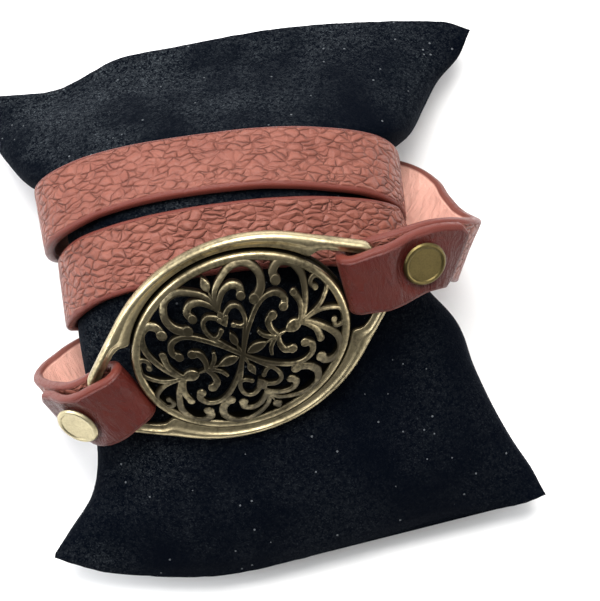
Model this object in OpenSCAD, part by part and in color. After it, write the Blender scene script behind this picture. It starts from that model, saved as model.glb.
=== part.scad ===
// Leather wrap bracelet on a display pillow.
// A long strap goes three times round the pillow, and a cast ornament joins its two ends in front.

/* [Display pillow] */
// Width of the pillow across its corners
pillow_w = 110; // [96:1:130]
// Length of the pillow from seam to seam
pillow_l = 117.4; // [102:0.2:134]
// Height of the crest that the squeezed waist pushes up
pillow_h = 44; // [38:1:52]
// Width of the waist under the strap
waist_w = 69; // [60:1:80]
// How far the waist's middle lies to the left of the pillow's middle
waist_shift = 4.4; // [0:0.5:8]
// Height of the two end seams above the surface it rests on
seam_h = 8; // [5:0.5:12]
// Thickness of the cloth edge at the end seams
seam_t = 3; // [2:0.5:5]
// How far the corners stay back from the furthest point of the head seam
head_bow = 6.6; // [0:0.2:9]
// How far the left corner stays back from the furthest point of the foot seam
foot_bow = 8.6; // [2:0.2:10]
// How far the corners curl up
corner_curl = 3; // [0:0.5:6]
// Room between the underside of the waist and the resting surface
waist_room = 7; // [6:0.5:10]

/* [Strap] */
// Width of the strap
strap_w = 14.5; // [11:0.5:16]
// Thickness of the leather
strap_t = 2.2; // [1.4:0.1:2.6]
// Gap between two rows of strap where they lie closest
row_gap = 0.6; // [0.3:0.1:2]
// Clearance between pieces that lie on each other
clear = 0.3; // [0.25:0.05:0.5]
// How far the loop beside the left tab stands away from the pillow
left_slack = 6.5; // [4:0.5:10]
// How far the loop beside the right tab stands away from the pillow
right_slack = 7; // [5:0.5:11]
// Length of the left folded tab, from the end bar to its free end
left_tab_l = 13; // [12:0.5:18]
// Length of the right folded tab, from the end bar to its free end
right_tab_l = 16.5; // [14:0.5:20]
// Cut off the corners of a tab's free end by this much
tab_chamfer = 1.6; // [1:0.1:4]

/* [Ornament] */
// Length of the oval plate
plate_l = 46.4; // [40:0.5:50]
// Width of the oval plate
plate_w = 39.5; // [36:0.5:42]
// Height of the dome of the oval plate
dome_h = 6.2; // [4:0.2:7]
// Foot of the dome above the middle of the frame's bars
dome_foot = 1; // [0.4:0.1:1.6]
// Wall of the pierced dome
dome_t = 1.4; // [1:0.1:2]
// Width of the raised rim of the plate
rim_w = 1.8; // [1.4:0.1:2.4]
// Top of the raised rim above the middle of the frame's bars
rim_h = 2.1; // [1.6:0.1:3]
// Length of the frame over its end bars
frame_l = 66; // [62:0.5:74]
// Width of the frame across its middle
frame_w = 45.5; // [43:0.5:50]
// Length of each end bar
end_bar_l = 16; // [15:0.5:19]
// Width of the frame's bars at its ends
bar_w = 2.4; // [2:0.1:3]
// Slit between the plate and the long bars that reach to it
bar_slit = 0.6; // [0.4:0.1:1]
// Height of the frame's bars
bar_h = 2.6; // [2:0.1:3]
// Slope of the ornament towards the foot of the pillow
orn_slope = 37; // [30:1:42]
// Turn of the ornament in its own plane
orn_turn = 20.8; // [14:0.4:24]
// Place of the ornament's middle, to the right of the pillow's middle
orn_x = -5.3; // [-8:0.1:-2]
// Place of the ornament's middle, along the pillow
orn_y = -12.3; // [-16:0.1:-8]

/* [Fasteners] */
// Diameter of the caps
cap_d = 9.4; // [8:0.1:10.5]
// Height of a cap above the leather
cap_h = 1; // [0.8:0.1:2]
// Diameter of the hidden posts
post_d = 3.6; // [3:0.1:4.4]
// Thickness of the back flanges
flange_t = 0.8; // [0.6:0.1:1.2]
// Distance from the left end bar to the middle of its cap
left_cap_at = 4.9; // [4.7:0.1:8]
// Distance from the right end bar to the middle of its cap
right_cap_at = 8.5; // [7:0.1:10]

/* [Hidden] */

half_l = pillow_l / 2;
half_w = pillow_w / 2;
// How far the underside would bulge below the resting surface, which cuts it flat
flat_depth = 2.5;
// Sections of the pillow from foot to head: place as a share of the half length, flare of the left and
// right sides from waist (0) to corner (1), height of the top and of the widest line from seam (0) to
// crest (1), bulge of the underside (0 to 1), and how far the underside is tucked up for the strap
SECTIONS = [
    // place, left, right, top, widest, belly, tuck
    [-1, 0.78, 1, 0, 0, 0, 0],
    [-0.951, 0.76, 0.985, 0.11, 0.01, 0.45, 0],
    [-0.823, 0.53, 0.92, 0.27, 0.04, 0.9, 0],
    [-0.675, 0.18, 0.78, 0.38, 0.11, 1, 0],
    [-0.526, 0.03, 0.65, 0.47, 0.18, 1, 0.25],
    [-0.378, 0.02, 0.54, 0.59, 0.25, 0.9, 0.9],
    [-0.23, 0.02, 0.45, 0.73, 0.33, 0.6, 1],
    [-0.082, 0.03, 0.2, 0.89, 0.4, 0.5, 1],
    [0.047, 0, 0.02, 0.97, 0.42, 0.5, 1],
    [0.145, 0, 0, 1, 0.42, 0.5, 1],
    [0.264, 0, 0, 0.985, 0.42, 0.5, 1],
    [0.383, 0.02, 0.02, 0.93, 0.4, 0.6, 1],
    [0.442, 0.1, 0.08, 0.885, 0.38, 0.7, 1],
    [0.501, 0.42, 0.27, 0.82, 0.34, 0.85, 1],
    [0.61, 0.68, 0.44, 0.65, 0.25, 1, 0.75],
    [0.738, 0.88, 0.61, 0.42, 0.13, 1, 0.1],
    [0.857, 0.97, 0.83, 0.2, 0.03, 0.6, 0],
    [1, 1, 0.96, 0, 0, 0, 0],
];
// How far each end seam stays back across the pillow, as a share of its bow
HEAD_SEAM = [
    // side, back
    [-1, 1],
    [-0.82, 1.12],
    [-0.65, 1],
    [-0.54, 0.66],
    [-0.41, 0.27],
    [-0.14, 0.13],
    [0.16, 0],
    [0.5, 0.12],
    [0.89, 0.55],
    [1, 1],
];
FOOT_SEAM = [
    // side, back
    [-1, 1],
    [-0.83, 0.54],
    [-0.63, 0.25],
    [-0.43, 0.05],
    [-0.25, 0],
    [0.19, 0.3],
    [0.57, 0.62],
    [0.9, 0.72],
    [1, 0.85],
];
// Middle of the second row of strap, where the crest is
row_mid = 0.1376 * half_l;
// From one row to the next
pitch = strap_w + row_gap;
// Course of the strap: angle round the pillow from its right side over the top, place in row pitches
// from the crest, layers of strap beneath, and share of the slack of the loop that it belongs to
COURSE = [
    // angle, place, layers, slack
    [205, -1.42, 0, 1],
    [218, -1.22, 0, 0.75],
    [235, -1.05, 0, 0.3],
    [260, -0.9, 0, 0],
    [290, -0.72, 0, 0],
    [320, -0.46, 0, 0],
    [345, -0.43, 0, 0],
    [365, -0.39, 0, 0],
    [400, -0.15, 0, 0],
    [450, 0, 0, 0],
    [500, -0.08, 0, 0],
    [540, -0.27, 0, 0],
    [570, -0.18, 0, 0],
    [600, 0, 0, 0],
    [630, 0.2, 0, 0],
    [660, 0.42, 0, 0],
    [690, 0.52, 0, 0],
    [720, 0.59, 0, 0],
    [745, 0.74, 0, 0],
    [780, 0.95, 0, 0],
    [810, 1.05, 0, 0],
    [850, 1.03, 0, 0],
    [880, 0.86, 0, 0],
    [905, 0.78, 0, 0],
    [930, 0.86, 0, 0],
    [948, 0.98, 0.3, 0],
    [965, 1.05, 1, 0],
    [990, 1.1, 1, 0],
    [1015, 1.06, 1, 0],
    [1035, 0.93, 1, 0.2],
    [1050, 0.66, 1, 0.65],
    [1064, 0.25, 0.6, 0.95],
    [1078, -0.2, 0.2, 1],
];
// Steps of the strap's sweep along its course, its leads and its folds
course_step = 7.5;
lead_steps = 14;
fold_steps = 7;
// The slot squeezes a fold to this share of the strap's width
fold_squeeze = 0.93;
// How far the left and the right fold are turned in the ornament's plane
fold_turn = [8, -14];
// How steeply the strap dives beside the left and the right end bar, and how far it turns sideways
lead_dive = [46, 13];
lead_turn = [8, -16];
// Length of the bend in which it does so, and its share of the lead's steps
lead_bend = [0.45 * strap_w, 0.52 * strap_w];
bend_share = 0.3;
// Handles of the leads between the folds and the loops, as shares of their span
left_handles = [0.25, 0.42];
right_handles = [0.45, 0.38];
// Where along a lead the strap turns from the ornament's plane to the loop's
left_turn = [0.6, 1];
right_turn = [0.05, 0.35];
flange_d = 1.8 * post_d;
// Rounding of the strap's long edges
edge_r = 0.5;

end_bar_u = frame_l / 2 - bar_w / 2;
// Distance from the end bar's middle to the middle of the leather that is folded round it
fold_r = bar_h / 2 + clear + strap_t / 2;
// How far a fold's bend lies inside the end bar, so that it clears the plate
fold_reach = end_bar_u - plate_l / 2 - 2 * clear - fold_r - strap_t / 2;
// Radius of the frame's long arcs, and of its corners
frame_r = 0.755 * frame_w;
corner_r = bar_w + 0.8;
// Greatest width of the long bars, as a share of their width at the ends
bar_swell = 2.4;
// Underside of the plate's flange and its thickness
flange_h = 1;
flange_z = -bar_h / 2;

// General functions
function unit(p) = p / norm(p);
function mix(a, b, f) = a + (b - a) * f;
// Rises smoothly from 0 to 1
function ease(f) = let(g = min(max(f, 0), 1)) g * g * (3 - 2 * g);
function sum_to(list, n) = n < 0 ? 0 : list[n] + sum_to(list, n - 1);
// Row of a table in which a key falls
function row_of(t, x, i = 0) = i >= len(t) - 2 || x < t[i + 1][0] ? i : row_of(t, x, i + 1);
// Slope of a column at a row
function slope(t, c, i) =
    let(a = max(i - 1, 0), b = min(i + 1, len(t) - 1))
    (t[b][c] - t[a][c]) / (t[b][0] - t[a][0]);
// Value of a column at a key, on a smooth curve through the rows
function smooth(t, c, x) =
    let(
        i = row_of(t, x),
        w = t[i + 1][0] - t[i][0],
        f = (x - t[i][0]) / w,
        g = 1 - f
    )
    g * g * (1 + 2 * f) * t[i][c] + f * f * (3 - 2 * f) * t[i + 1][c]
    + f * g * g * w * slope(t, c, i) - f * f * g * w * slope(t, c, i + 1);

// Point of the pillow's surface at a place along it and an angle round it
function skin(v, th) =
    let(
        x_l = -mix(waist_w / 2 + waist_shift, half_w, smooth(SECTIONS, 1, v)),
        x_r = mix(waist_w / 2 - waist_shift, half_w, smooth(SECTIONS, 2, v)),
        z_top = mix(seam_h + seam_t / 2, pillow_h, smooth(SECTIONS, 3, v)),
        z_mid = mix(seam_h, pillow_h, smooth(SECTIONS, 4, v)),
        bulge = mix(seam_h - seam_t / 2, -flat_depth, smooth(SECTIONS, 5, v)),
        z_low = mix(bulge, waist_room, smooth(SECTIONS, 6, v)),
        c = cos(th),
        s = sin(th),
        edge = pow(abs(v), 4),
        round_x = mix(0.86, 0.96, edge),
        round_z = mix(0.86, 1.15, edge),
        x = (x_l + x_r) / 2 + (x_r - x_l) / 2 * sign(c) * pow(abs(c), round_x),
        back = v < 0 ? foot_bow * smooth(FOOT_SEAM, 1, c) : head_bow * smooth(HEAD_SEAM, 1, c),
        y = v * half_l - sign(v) * max(back, 0) * edge,
        rise = s < 0 ? (z_low - z_mid) * pow(-s, round_z) : (z_top - z_mid) * pow(s, round_z)
    )
    [x, y, z_mid + rise + corner_curl * pow(abs(c * v), 7)];

// Outward direction of the pillow's surface
function skin_out(v, th) =
    unit(cross(skin(v + 0.01, th) - skin(v - 0.01, th), skin(v, th + 2) - skin(v, th - 2)));

// How far a loop hangs down, as a share of how far it stands away
slack_drop = 0.3;
// Middle of the strap's thickness at an angle of its course
function course_mid(a) =
    let(
        y = row_mid + smooth(COURSE, 1, a) * pitch,
        v = y / half_l,
        n = skin_out(v, a),
        p = skin(v, a),
        reach = strap_w / 2 / half_l,
        proud = max([for (k = [-1, -0.6, 0.6, 1]) (skin(v + k * reach, a) - p) * n]),
        side = a < 360 ? -left_slack : right_slack,
        slack = max(smooth(COURSE, 3, a), 0),
        layers = smooth(COURSE, 2, a) * (strap_t + clear)
    )
    p + n * (max(proud, 0) + clear + strap_t / 2 + layers) + slack * [side, 0, -slack_drop * abs(side)];

course_a = [for (k = [0 : round((COURSE[len(COURSE) - 1][0] - COURSE[0][0]) / course_step)])
    COURSE[0][0] + k * course_step];
course_mids = [for (a = course_a) course_mid(a)];
last = len(course_mids) - 1;
course_go = [for (i = [0 : last]) unit(course_mids[min(i + 1, last)] - course_mids[max(i - 1, 0)])];
course_out = [for (i = [0 : last])
    skin_out((row_mid + smooth(COURSE, 1, course_a[i]) * pitch) / half_l, course_a[i])];
// How much the upper edge of the right loop stands further out than its lower edge
right_lean = 0.35;
// Frames of the strap along its course: middle, direction across it, outward direction
course_frames = [for (i = [0 : last])
    let(
        flat = unit(cross(course_go[i], course_out[i])),
        lean = course_a[i] < 720 ? 0 : right_lean * max(smooth(COURSE, 3, course_a[i]), 0),
        across = unit(cross(course_go[i], course_out[i] - flat * lean))
    )
    [course_mids[i], across, cross(across, course_go[i])]];

// Directions of the ornament: along it, across it and out of it
orn_u = [cos(orn_turn), sin(orn_turn) * cos(orn_slope), sin(orn_turn) * sin(orn_slope)];
orn_v = [-sin(orn_turn), cos(orn_turn) * cos(orn_slope), cos(orn_turn) * sin(orn_slope)];
orn_w = [0, -sin(orn_slope), cos(orn_slope)];
// First guess of its height, only to tell what lies under it
orn_guess = [orn_x, orn_y, 0.82 * pillow_h];
// What may lie under it: the pillow's skin and the second row of strap
under_skin = [for (v = [-0.7 : 0.05 : 0.25]) for (a = [35 : 5 : 150]) skin(v, a)];
under_strap = [for (i = [0 : last]) if (course_a[i] > 385 && course_a[i] < 515)
    for (k = [-0.5, 0, 0.5])
        course_frames[i][0] + course_frames[i][1] * k * strap_w + course_frames[i][2] * strap_t / 2];
function under_level(p) =
    let(u = abs((p - orn_guess) * orn_u), v = abs((p - orn_guess) * orn_v))
    u < end_bar_u - 6 ? (v < frame_w / 2 - u * 0.35 ? -bar_h / 2 : 100)
    : (u < end_bar_u + 2 && v < strap_w / 2 + 1 ? -fold_r - strap_t / 2 : 100);
// The ornament rests on the highest of it
orn_rest = clear + max([for (p = concat(under_skin, under_strap)) p * orn_w - under_level(p)]);
orn_z = (orn_rest - orn_x * orn_w[0] - orn_y * orn_w[1]) / orn_w[2];
orn_at = [orn_x, orn_y, orn_z];
function at_orn(u, v, w) = orn_at + orn_u * u + orn_v * v + orn_w * w;

// Direction of the strap outside each end bar, once it has turned and dived, and across it
function lead_go(side) =
    let(i = (side + 1) / 2, t = lead_turn[i], q = lead_dive[i])
    side * cos(q) * (orn_u * cos(t) + orn_v * sin(t)) - orn_w * sin(q);
function lead_across(side) =
    let(t = lead_turn[(side + 1) / 2])
    orn_v * cos(t) - orn_u * sin(t);
// Direction of a fold's legs away from the plate, and across them
function fold_go(side) =
    let(t = fold_turn[(side + 1) / 2])
    side * (orn_u * cos(t) + orn_v * sin(t));
function fold_across(side) =
    let(t = fold_turn[(side + 1) / 2])
    orn_v * cos(t) - orn_u * sin(t);
// Point of a fold at a place along its legs from the middle of its bend, and a height
function at_fold(side, reach, w) =
    at_orn(side * (end_bar_u - fold_reach), 0, w) + fold_go(side) * reach;
// Bend from the fold's direction to the lead's, after a share of its length
function bend_mid(side, f) =
    let(
        start = fold_go(side),
        go = lead_go(side),
        turn = acos(start * go),
        aside = unit(go - start * cos(turn)),
        r = lead_bend[(side + 1) / 2] / (turn * PI / 180)
    )
    at_fold(side, fold_reach, -fold_r) + r * (sin(f * turn) * start + (1 - cos(f * turn)) * aside);
// Lead of the strap from a fold (f = 0) to a loop (f = 1); side is -1 left and 1 right
function bend(a, b, c, d, f) =
    let(g = 1 - f)
    a * g * g * g + 3 * b * f * g * g + 3 * c * f * f * g + d * f * f * f;
function lead_end(side) = side < 0 ? course_frames[0] : course_frames[last];
function lead_mid(side, f) =
    let(
        a = bend_mid(side, 1),
        d = lead_end(side)[0],
        go = side < 0 ? course_go[0] : -course_go[last],
        reach = norm(d - a) * (side < 0 ? left_handles : right_handles),
        g = (f - bend_share) / (1 - bend_share)
    )
    f < bend_share ? bend_mid(side, f / bend_share)
    : bend(a, a + lead_go(side) * reach[0], d - go * reach[1], d, g);
function lead_frame(side, f) =
    let(
        go = -side * unit(lead_mid(side, f + 0.01) - lead_mid(side, f - 0.01)),
        turn = side < 0 ? left_turn : right_turn,
        g = (f - bend_share) / (1 - bend_share),
        across0 = f < bend_share ? mix(fold_across(side), lead_across(side), f / bend_share)
            : mix(lead_across(side), lead_end(side)[1], ease((g - turn[0]) / (turn[1] - turn[0]))),
        out = unit(cross(across0, go))
    )
    [lead_mid(side, f), cross(go, out), out];
// Share of a lead at a length from the end bar
function lead_table(side) =
    let(
        p = [for (k = [0 : 24]) lead_mid(side, k / 24)],
        d = [for (k = [0 : 23]) norm(p[k + 1] - p[k])]
    )
    [for (k = [0 : 24]) [sum_to(d, k - 1), k / 24]];
lead_tables = [lead_table(-1), lead_table(1)];
function lead_at(side, l) = lookup(l, lead_tables[side < 0 ? 0 : 1]);

// Over what length a tab closes from the end bar's thickness to two layers that lie together
tab_close = 9;
function tab_gap(l) =
    mix(2 * fold_r, strap_t + clear, ease(l / tab_close));
// Frame of a folded tab at a length from the end bar; its outward side faces the layer beneath
function tab_frame(side, l) =
    let(b = lead_frame(side, lead_at(side, l)))
    [b[0] + b[2] * tab_gap(l), b[1], -b[2]];
function fold_frame(side, k) =
    let(a = 180 * k / fold_steps)
    [at_fold(side, -fold_r * sin(a), fold_r * cos(a)), fold_across(side), fold_go(side) * sin(a) - orn_w * cos(a)];

// Ring of points round the strap at a frame, each side drawn in by inset
function strap_ring(f, inset) =
    let(h = strap_w / 2 - inset, t = strap_t / 2, r = edge_r)
    [for (q = [[h - r, t], [h, t - r], [h, r - t], [h - r, -t], [r - h, -t], [-h, r - t], [-h, t - r], [r - h, t]])
        f[0] + f[1] * q[0] + f[2] * q[1]];
// Lengths along a tab from its free end, and how far its sides are drawn in there
tab_steps = 7;
function tab_cuts(l) = concat([[l, tab_chamfer]],
    [for (k = [0 : tab_steps]) [(l - tab_chamfer) * (1 - k / tab_steps), 0]]);
left_cuts = tab_cuts(left_tab_l);
right_cuts = tab_cuts(right_tab_l);
fold_inset = (1 - fold_squeeze) * strap_w / 2;
strap_rings = concat(
    [for (c = left_cuts) strap_ring(tab_frame(-1, c[0]), c[1])],
    [for (k = [0 : fold_steps]) strap_ring(fold_frame(-1, k), fold_inset)],
    [for (k = [0 : lead_steps - 1]) strap_ring(lead_frame(-1, k / lead_steps), 0)],
    [for (f = course_frames) strap_ring(f, 0)],
    [for (k = [lead_steps - 1 : -1 : 0]) strap_ring(lead_frame(1, k / lead_steps), 0)],
    [for (k = [fold_steps : -1 : 0]) strap_ring(fold_frame(1, k), fold_inset)],
    [for (i = [tab_steps + 1 : -1 : 0]) strap_ring(tab_frame(1, right_cuts[i][0]), right_cuts[i][1])]
);

// Solid through a list of rings of equal length, closed by flat ends
module sweep(rings) {
    n = len(rings[0]);
    m = len(rings);
    polyhedron(
        points = [for (r = rings) for (p = r) p],
        faces = concat(
            [[for (j = [0 : n - 1]) j]],
            [for (i = [0 : m - 2]) for (j = [0 : n - 1]) for (t = [0, 1])
                let(a = i * n + j, b = i * n + (j + 1) % n)
                t == 0 ? [a, a + n, b] : [b, a + n, b + n]],
            [[for (j = [n - 1 : -1 : 0]) (m - 1) * n + j]]
        )
    );
}

// Solid through closed rings whose last ring joins the first
module loop_sweep(rings) {
    n = len(rings[0]);
    m = len(rings);
    polyhedron(
        points = [for (r = rings) for (p = r) p],
        faces = [for (i = [0 : m - 1]) for (j = [0 : n - 1]) for (t = [0, 1])
            let(a = i * n + j, b = i * n + (j + 1) % n, c = (i + 1) % m * n)
            t == 0 ? [a, c + j, b] : [b, c + j, c + (j + 1) % n]]
    );
}

// Stands its children on the strap beside an end bar, with Z out of the leather
module on_tab(side, l) {
    f = lead_frame(side, lead_at(side, l));
    go = cross(f[1], f[2]);
    multmatrix([
        [go[0], f[1][0], f[2][0], f[0][0]],
        [go[1], f[1][1], f[2][1], f[0][1]],
        [go[2], f[1][2], f[2][2], f[0][2]],
    ]) children();
}

module at_ornament()
    translate(orn_at) rotate([orn_slope, 0, 0]) rotate([0, 0, orn_turn]) children();

// Display pillow: a closed body with seamed ends and curled corners, flat where it rests
skin_rings = 44;
skin_sides = 40;
module display_pillow() color("#15161d") difference() {
    rings = [for (i = [0 : skin_rings])
        [for (j = [0 : skin_sides - 1]) skin(sin(90 * (2 * i / skin_rings - 1)), 360 * j / skin_sides)]];
    pillow_body(rings);
    translate([-pillow_w, -pillow_l, -pillow_h]) cube([2 * pillow_w, 2 * pillow_l, pillow_h]);
}

// The end rings are lenses, so each is closed by strips from its upper to its lower edge
module pillow_body(rings) {
    n = len(rings[0]);
    m = len(rings);
    half = n / 2;
    polyhedron(
        points = [for (r = rings) for (p = r) p],
        faces = concat(
            [for (i = [0 : m - 2]) for (j = [0 : n - 1]) for (t = [0, 1])
                let(a = i * n + j, b = i * n + (j + 1) % n)
                t == 0 ? [a, b, a + n] : [b, b + n, a + n]],
            lens_faces(0, n, false),
            lens_faces((m - 1) * n, n, true)
        )
    );
}
function flip(f, turned) = turned ? [f[2], f[1], f[0]] : f;
function lens_faces(o, n, turned) = [for (j = [0 : n / 2 - 1]) for (t = [0, 1])
    let(a = o + j, b = o + j + 1, c = o + (n - j - 1), d = o + (n - j) % n)
    if ((t == 0 && j < n / 2 - 1) || (t == 1 && j > 0))
        flip(t == 0 ? [a, c, b] : [a, d, c], turned)];

// Strap: one strip of leather, with a folded tab at each end and a hole through both layers of it
module strap() color("#a0553f") difference() {
    sweep(strap_rings);
    on_tab(-1, left_cap_at) tab_hole(left_cap_at);
    on_tab(1, right_cap_at) tab_hole(right_cap_at);
}
module tab_hole(l) {
    pressed = strap_t / 2 - clear + seat;
    translate([0, 0, -2 * strap_t]) cylinder(d = post_d + clear, h = tab_gap(l) + 4 * strap_t, $fn = 32);
    // The cap and the flange press the leather flat
    translate([0, 0, tab_gap(l) + pressed]) cylinder(d = cap_d + 2 * clear, h = strap_t, $fn = 32);
    translate([0, 0, -pressed - strap_t]) cylinder(d = flange_d + 2 * clear, h = strap_t, $fn = 32);
}

// Fastener: cap on the folded layer, hidden post through both layers, flange behind them
module fastener(l) {
    top = tab_gap(l) + strap_t / 2 + seat;
    low = -strap_t / 2 - seat;
    r = cap_d / 2;
    rotate_extrude($fn = 64) polygon([
        [0, low - flange_t], [flange_d / 2 - 0.3, low - flange_t], [flange_d / 2, low], [post_d / 2, low],
        [post_d / 2, top], [r - 0.35, top], [r, top + 0.35], [r, top + cap_h - 0.5], [r - 0.3, top + cap_h - 0.1],
        [r - 0.6, top + cap_h], [r - 0.9, top + cap_h - 0.05], [r - 1.15, top + cap_h - 0.25],
        [0, top + cap_h - 0.25],
    ]);
}
// Gap between a cap or flange and the leather that it clamps
seat = 0.1;
module rivet_left() color("#a99a62") on_tab(-1, left_cap_at) fastener(left_cap_at);
module snap_right() color("#6d6034") on_tab(1, right_cap_at) fastener(right_cap_at);

// From a point towards the plate's edge, in the direction opposite to a
function plate_gap(p, a) =
    let(
        w = [2 / plate_l, 2 / plate_w],
        q = [p[0] * w[0], p[1] * w[1]],
        d = [-cos(a) * w[0], -sin(a) * w[1]],
        b = q * d,
        root = b * b - d * d * (q * q - 1)
    )
    root < 0 ? plate_l : (-b - sqrt(root)) / (d * d);
// Width of a long bar that reaches to the plate, but for the slit
function wide_bar(p, a) = min(plate_gap(p, a) - bar_slit, bar_swell * bar_w);
// Outline of the frame from the top of one long arc round: points, outward directions, widths of the bar
arc_steps = 7;
corner_steps = 4;
corner_at = [frame_l / 2 - corner_r, end_bar_l / 2 - corner_r];
arc_at = [0, frame_w / 2 - frame_r];
// Direction in which both arcs share a tangent
join_a = atan2(corner_at[1] - arc_at[1], corner_at[0])
    + acos((frame_r - corner_r) / norm(corner_at - arc_at));
straight_at = [for (c = [[arc_at, frame_r], [corner_at, corner_r]]) c[0] + c[1] * [cos(join_a), sin(join_a)]];
// Straight part between the arcs, where the bar steps back from the plate to its own width
NOTCH = [
    // share of the part, share of the step
    [0.12, 1],
    [0.24, 0.95],
    [0.34, 0.35],
    [0.5, 0],
];
quarter = concat(
    [for (k = [0 : arc_steps]) let(a = mix(90, join_a, k / arc_steps))
        let(p = arc_at + frame_r * [cos(a), sin(a)]) [p, a, wide_bar(p, a)]],
    [for (n = NOTCH) let(p = mix(straight_at[0], straight_at[1], n[0]))
        [p, join_a, mix(bar_w, wide_bar(p, join_a), n[1])]],
    [for (k = [0 : corner_steps]) let(a = mix(join_a, 0, k / corner_steps))
        [corner_at + corner_r * [cos(a), sin(a)], a, bar_w]]
);
quarter_last = len(quarter) - 1;
outline = concat(
    quarter,
    [for (i = [quarter_last : -1 : 1]) let(q = quarter[i]) [[q[0][0], -q[0][1]], -q[1], q[2]]],
    [for (i = [0 : quarter_last]) let(q = quarter[i]) [[-q[0][0], -q[0][1]], 180 + q[1], q[2]]],
    [for (i = [quarter_last : -1 : 1]) let(q = quarter[i]) [[-q[0][0], q[0][1]], 180 - q[1], q[2]]]
);
// Section of the frame's bars: place from the outer edge inwards and height, as shares of the bar
BAR = [
    // inwards, height
    [0.1, -0.5],
    [0, -0.3],
    [0, 0.12],
    [0.14, 0.38],
    [0.42, 0.48],
    [0.56, 0.36],
    [0.86, 0.26],
    [1, 0.28],
    [1, -0.3],
    [0.85, -0.5],
];
module frame_ring() loop_sweep([for (o = outline) [for (b = BAR)
    [o[0][0] - cos(o[1]) * b[0] * o[2], o[0][1] - sin(o[1]) * b[0] * o[2], b[1] * bar_h]]]);

// Oval outline of the plate, drawn in from its edge
oval_steps = 72;
module oval(inset)
    polygon([for (k = [0 : oval_steps - 1]) let(a = 360 * k / oval_steps)
        [(plate_l / 2 - inset) * cos(a), (plate_w / 2 - inset) * sin(a)]]);

// Scrolls of one quarter of the plate, as a chart in hundredths of its half length and half width.
// Widths at the start, middle and end, and the ball at the end, are in hundredths of the half width.
SCROLLS = [
    // start, middle, end, ball, course
    [5, 5, 8.5, 10, [[0, 0], [13, 21], [30, 40], [42, 46], [52, 43], [56, 33], [52, 26]]],
    [5, 8, 9.5, 11.5, [[58, 0], [64, 6], [72, 21], [78, 42], [75, 60], [66, 68], [58, 64], [56.5, 55]]],
    [4, 5, 5, 6.5, [[60, 0], [72, 1], [82, 5], [92, 16], [91, 29], [86, 34], [81, 30], [83, 23]]],
    [4.5, 6.5, 7.5, 8, [[57, 0], [62, 7], [66, 19], [65, 33]]],
    [4, 7, 8.5, 10, [[36, 0], [33, 9], [34, 20], [40, 24]]],
    [3, 4.5, 4.5, 4.5, [[22, 17], [25, 8], [33, 0]]],
    [4, 4.5, 5.5, 5.5, [[0, 0], [11, 22], [18, 37], [18, 50], [12, 55], [5, 51], [3, 47]]],
    [3.5, 4, 4.5, 5, [[15.5, 31], [11, 31], [6, 36]]],
    [4.5, 7, 8.5, 10, [[0, 57], [3, 63], [11, 72], [20, 74], [26, 68], [24, 60]]],
    [4.5, 8, 10, 11.5, [[0, 60], [5, 76], [19, 87], [30, 90], [41, 85], [46.5, 71], [44, 59], [38, 52], [33, 50]]],
];
// Leaves on the axes of the plate, drawn once each way: along the axis from, to, and width
LONG_LEAVES = [
    // from, to, width
    [4, 25, 12],
    [22, 46, 4],
    [43, 61, 15],
];
SHORT_LEAVES = [
    // from, to, width
    [0, 16, 4],
    [13, 30, 9],
    [38, 57, 11],
    [54, 82, 4],
    [78, 94, 11],
];
// The scrolls stand a little inside the rim across the plate
scrolls_w = 0.95;
chart = [plate_l / 200, scrolls_w * plate_w / 200];
curve_steps = 5;
function chart_pt(p) = [p[0] * chart[0], p[1] * chart[1]];
// Smooth curve through the points of a course
function curve_pt(c, i, f) =
    let(
        a = chart_pt(c[max(i - 1, 0)]),
        b = chart_pt(c[i]),
        d = chart_pt(c[i + 1]),
        e = chart_pt(c[min(i + 2, len(c) - 1)])
    )
    bend(b, b + (d - a) / 6, d - (e - b) / 6, d, f);
function curve(c) = concat(
    [for (i = [0 : len(c) - 2]) for (k = [0 : curve_steps - 1]) curve_pt(c, i, k / curve_steps)],
    [chart_pt(c[len(c) - 1])]
);
// One scroll: a strip whose width runs through three values, with a ball at its end
module scroll(row) {
    pts = curve(row[4]);
    n = len(pts) - 1;
    go = [for (i = [0 : n]) unit(pts[min(i + 1, n)] - pts[max(i - 1, 0)])];
    half = [for (i = [0 : n])
        let(f = i / n)
        chart[1] / 2 * (f < 0.5 ? mix(row[0], row[1], 2 * f) : mix(row[1], row[2], 2 * f - 1))];
    for (i = [0 : n - 1])
        polygon([
            pts[i] + half[i] * [-go[i][1], go[i][0]],
            pts[i + 1] + half[i + 1] * [-go[i + 1][1], go[i + 1][0]],
            pts[i + 1] - half[i + 1] * [-go[i + 1][1], go[i + 1][0]],
            pts[i] - half[i] * [-go[i][1], go[i][0]],
        ]);
    translate(pts[n]) circle(d = row[3] * chart[1], $fn = 14);
}
module leaf(from, to, half) {
    mid = mix(from, to, 0.55);
    polygon([[from, 0], [mix(from, mid, 0.5), half * 0.75], [mid, half], [mix(mid, to, 0.6), half * 0.6], [to, 0],
        [mix(mid, to, 0.6), -half * 0.6], [mid, -half], [mix(from, mid, 0.5), -half * 0.75]]);
}
module filigree_pattern() offset(delta = 0.06) {
    for (x = [0, 1]) for (y = [0, 1]) mirror([x, 0]) mirror([0, y])
        for (row = SCROLLS) scroll(row);
    for (x = [0, 1]) mirror([x, 0])
        for (r = LONG_LEAVES) leaf(r[0] * chart[0], r[1] * chart[0], r[2] * chart[1] / 2);
    for (y = [0, 1]) mirror([0, y]) rotate(90)
        for (r = SHORT_LEAVES) leaf(r[0] * chart[1], r[1] * chart[1], r[2] * chart[1] / 2);
}

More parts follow.
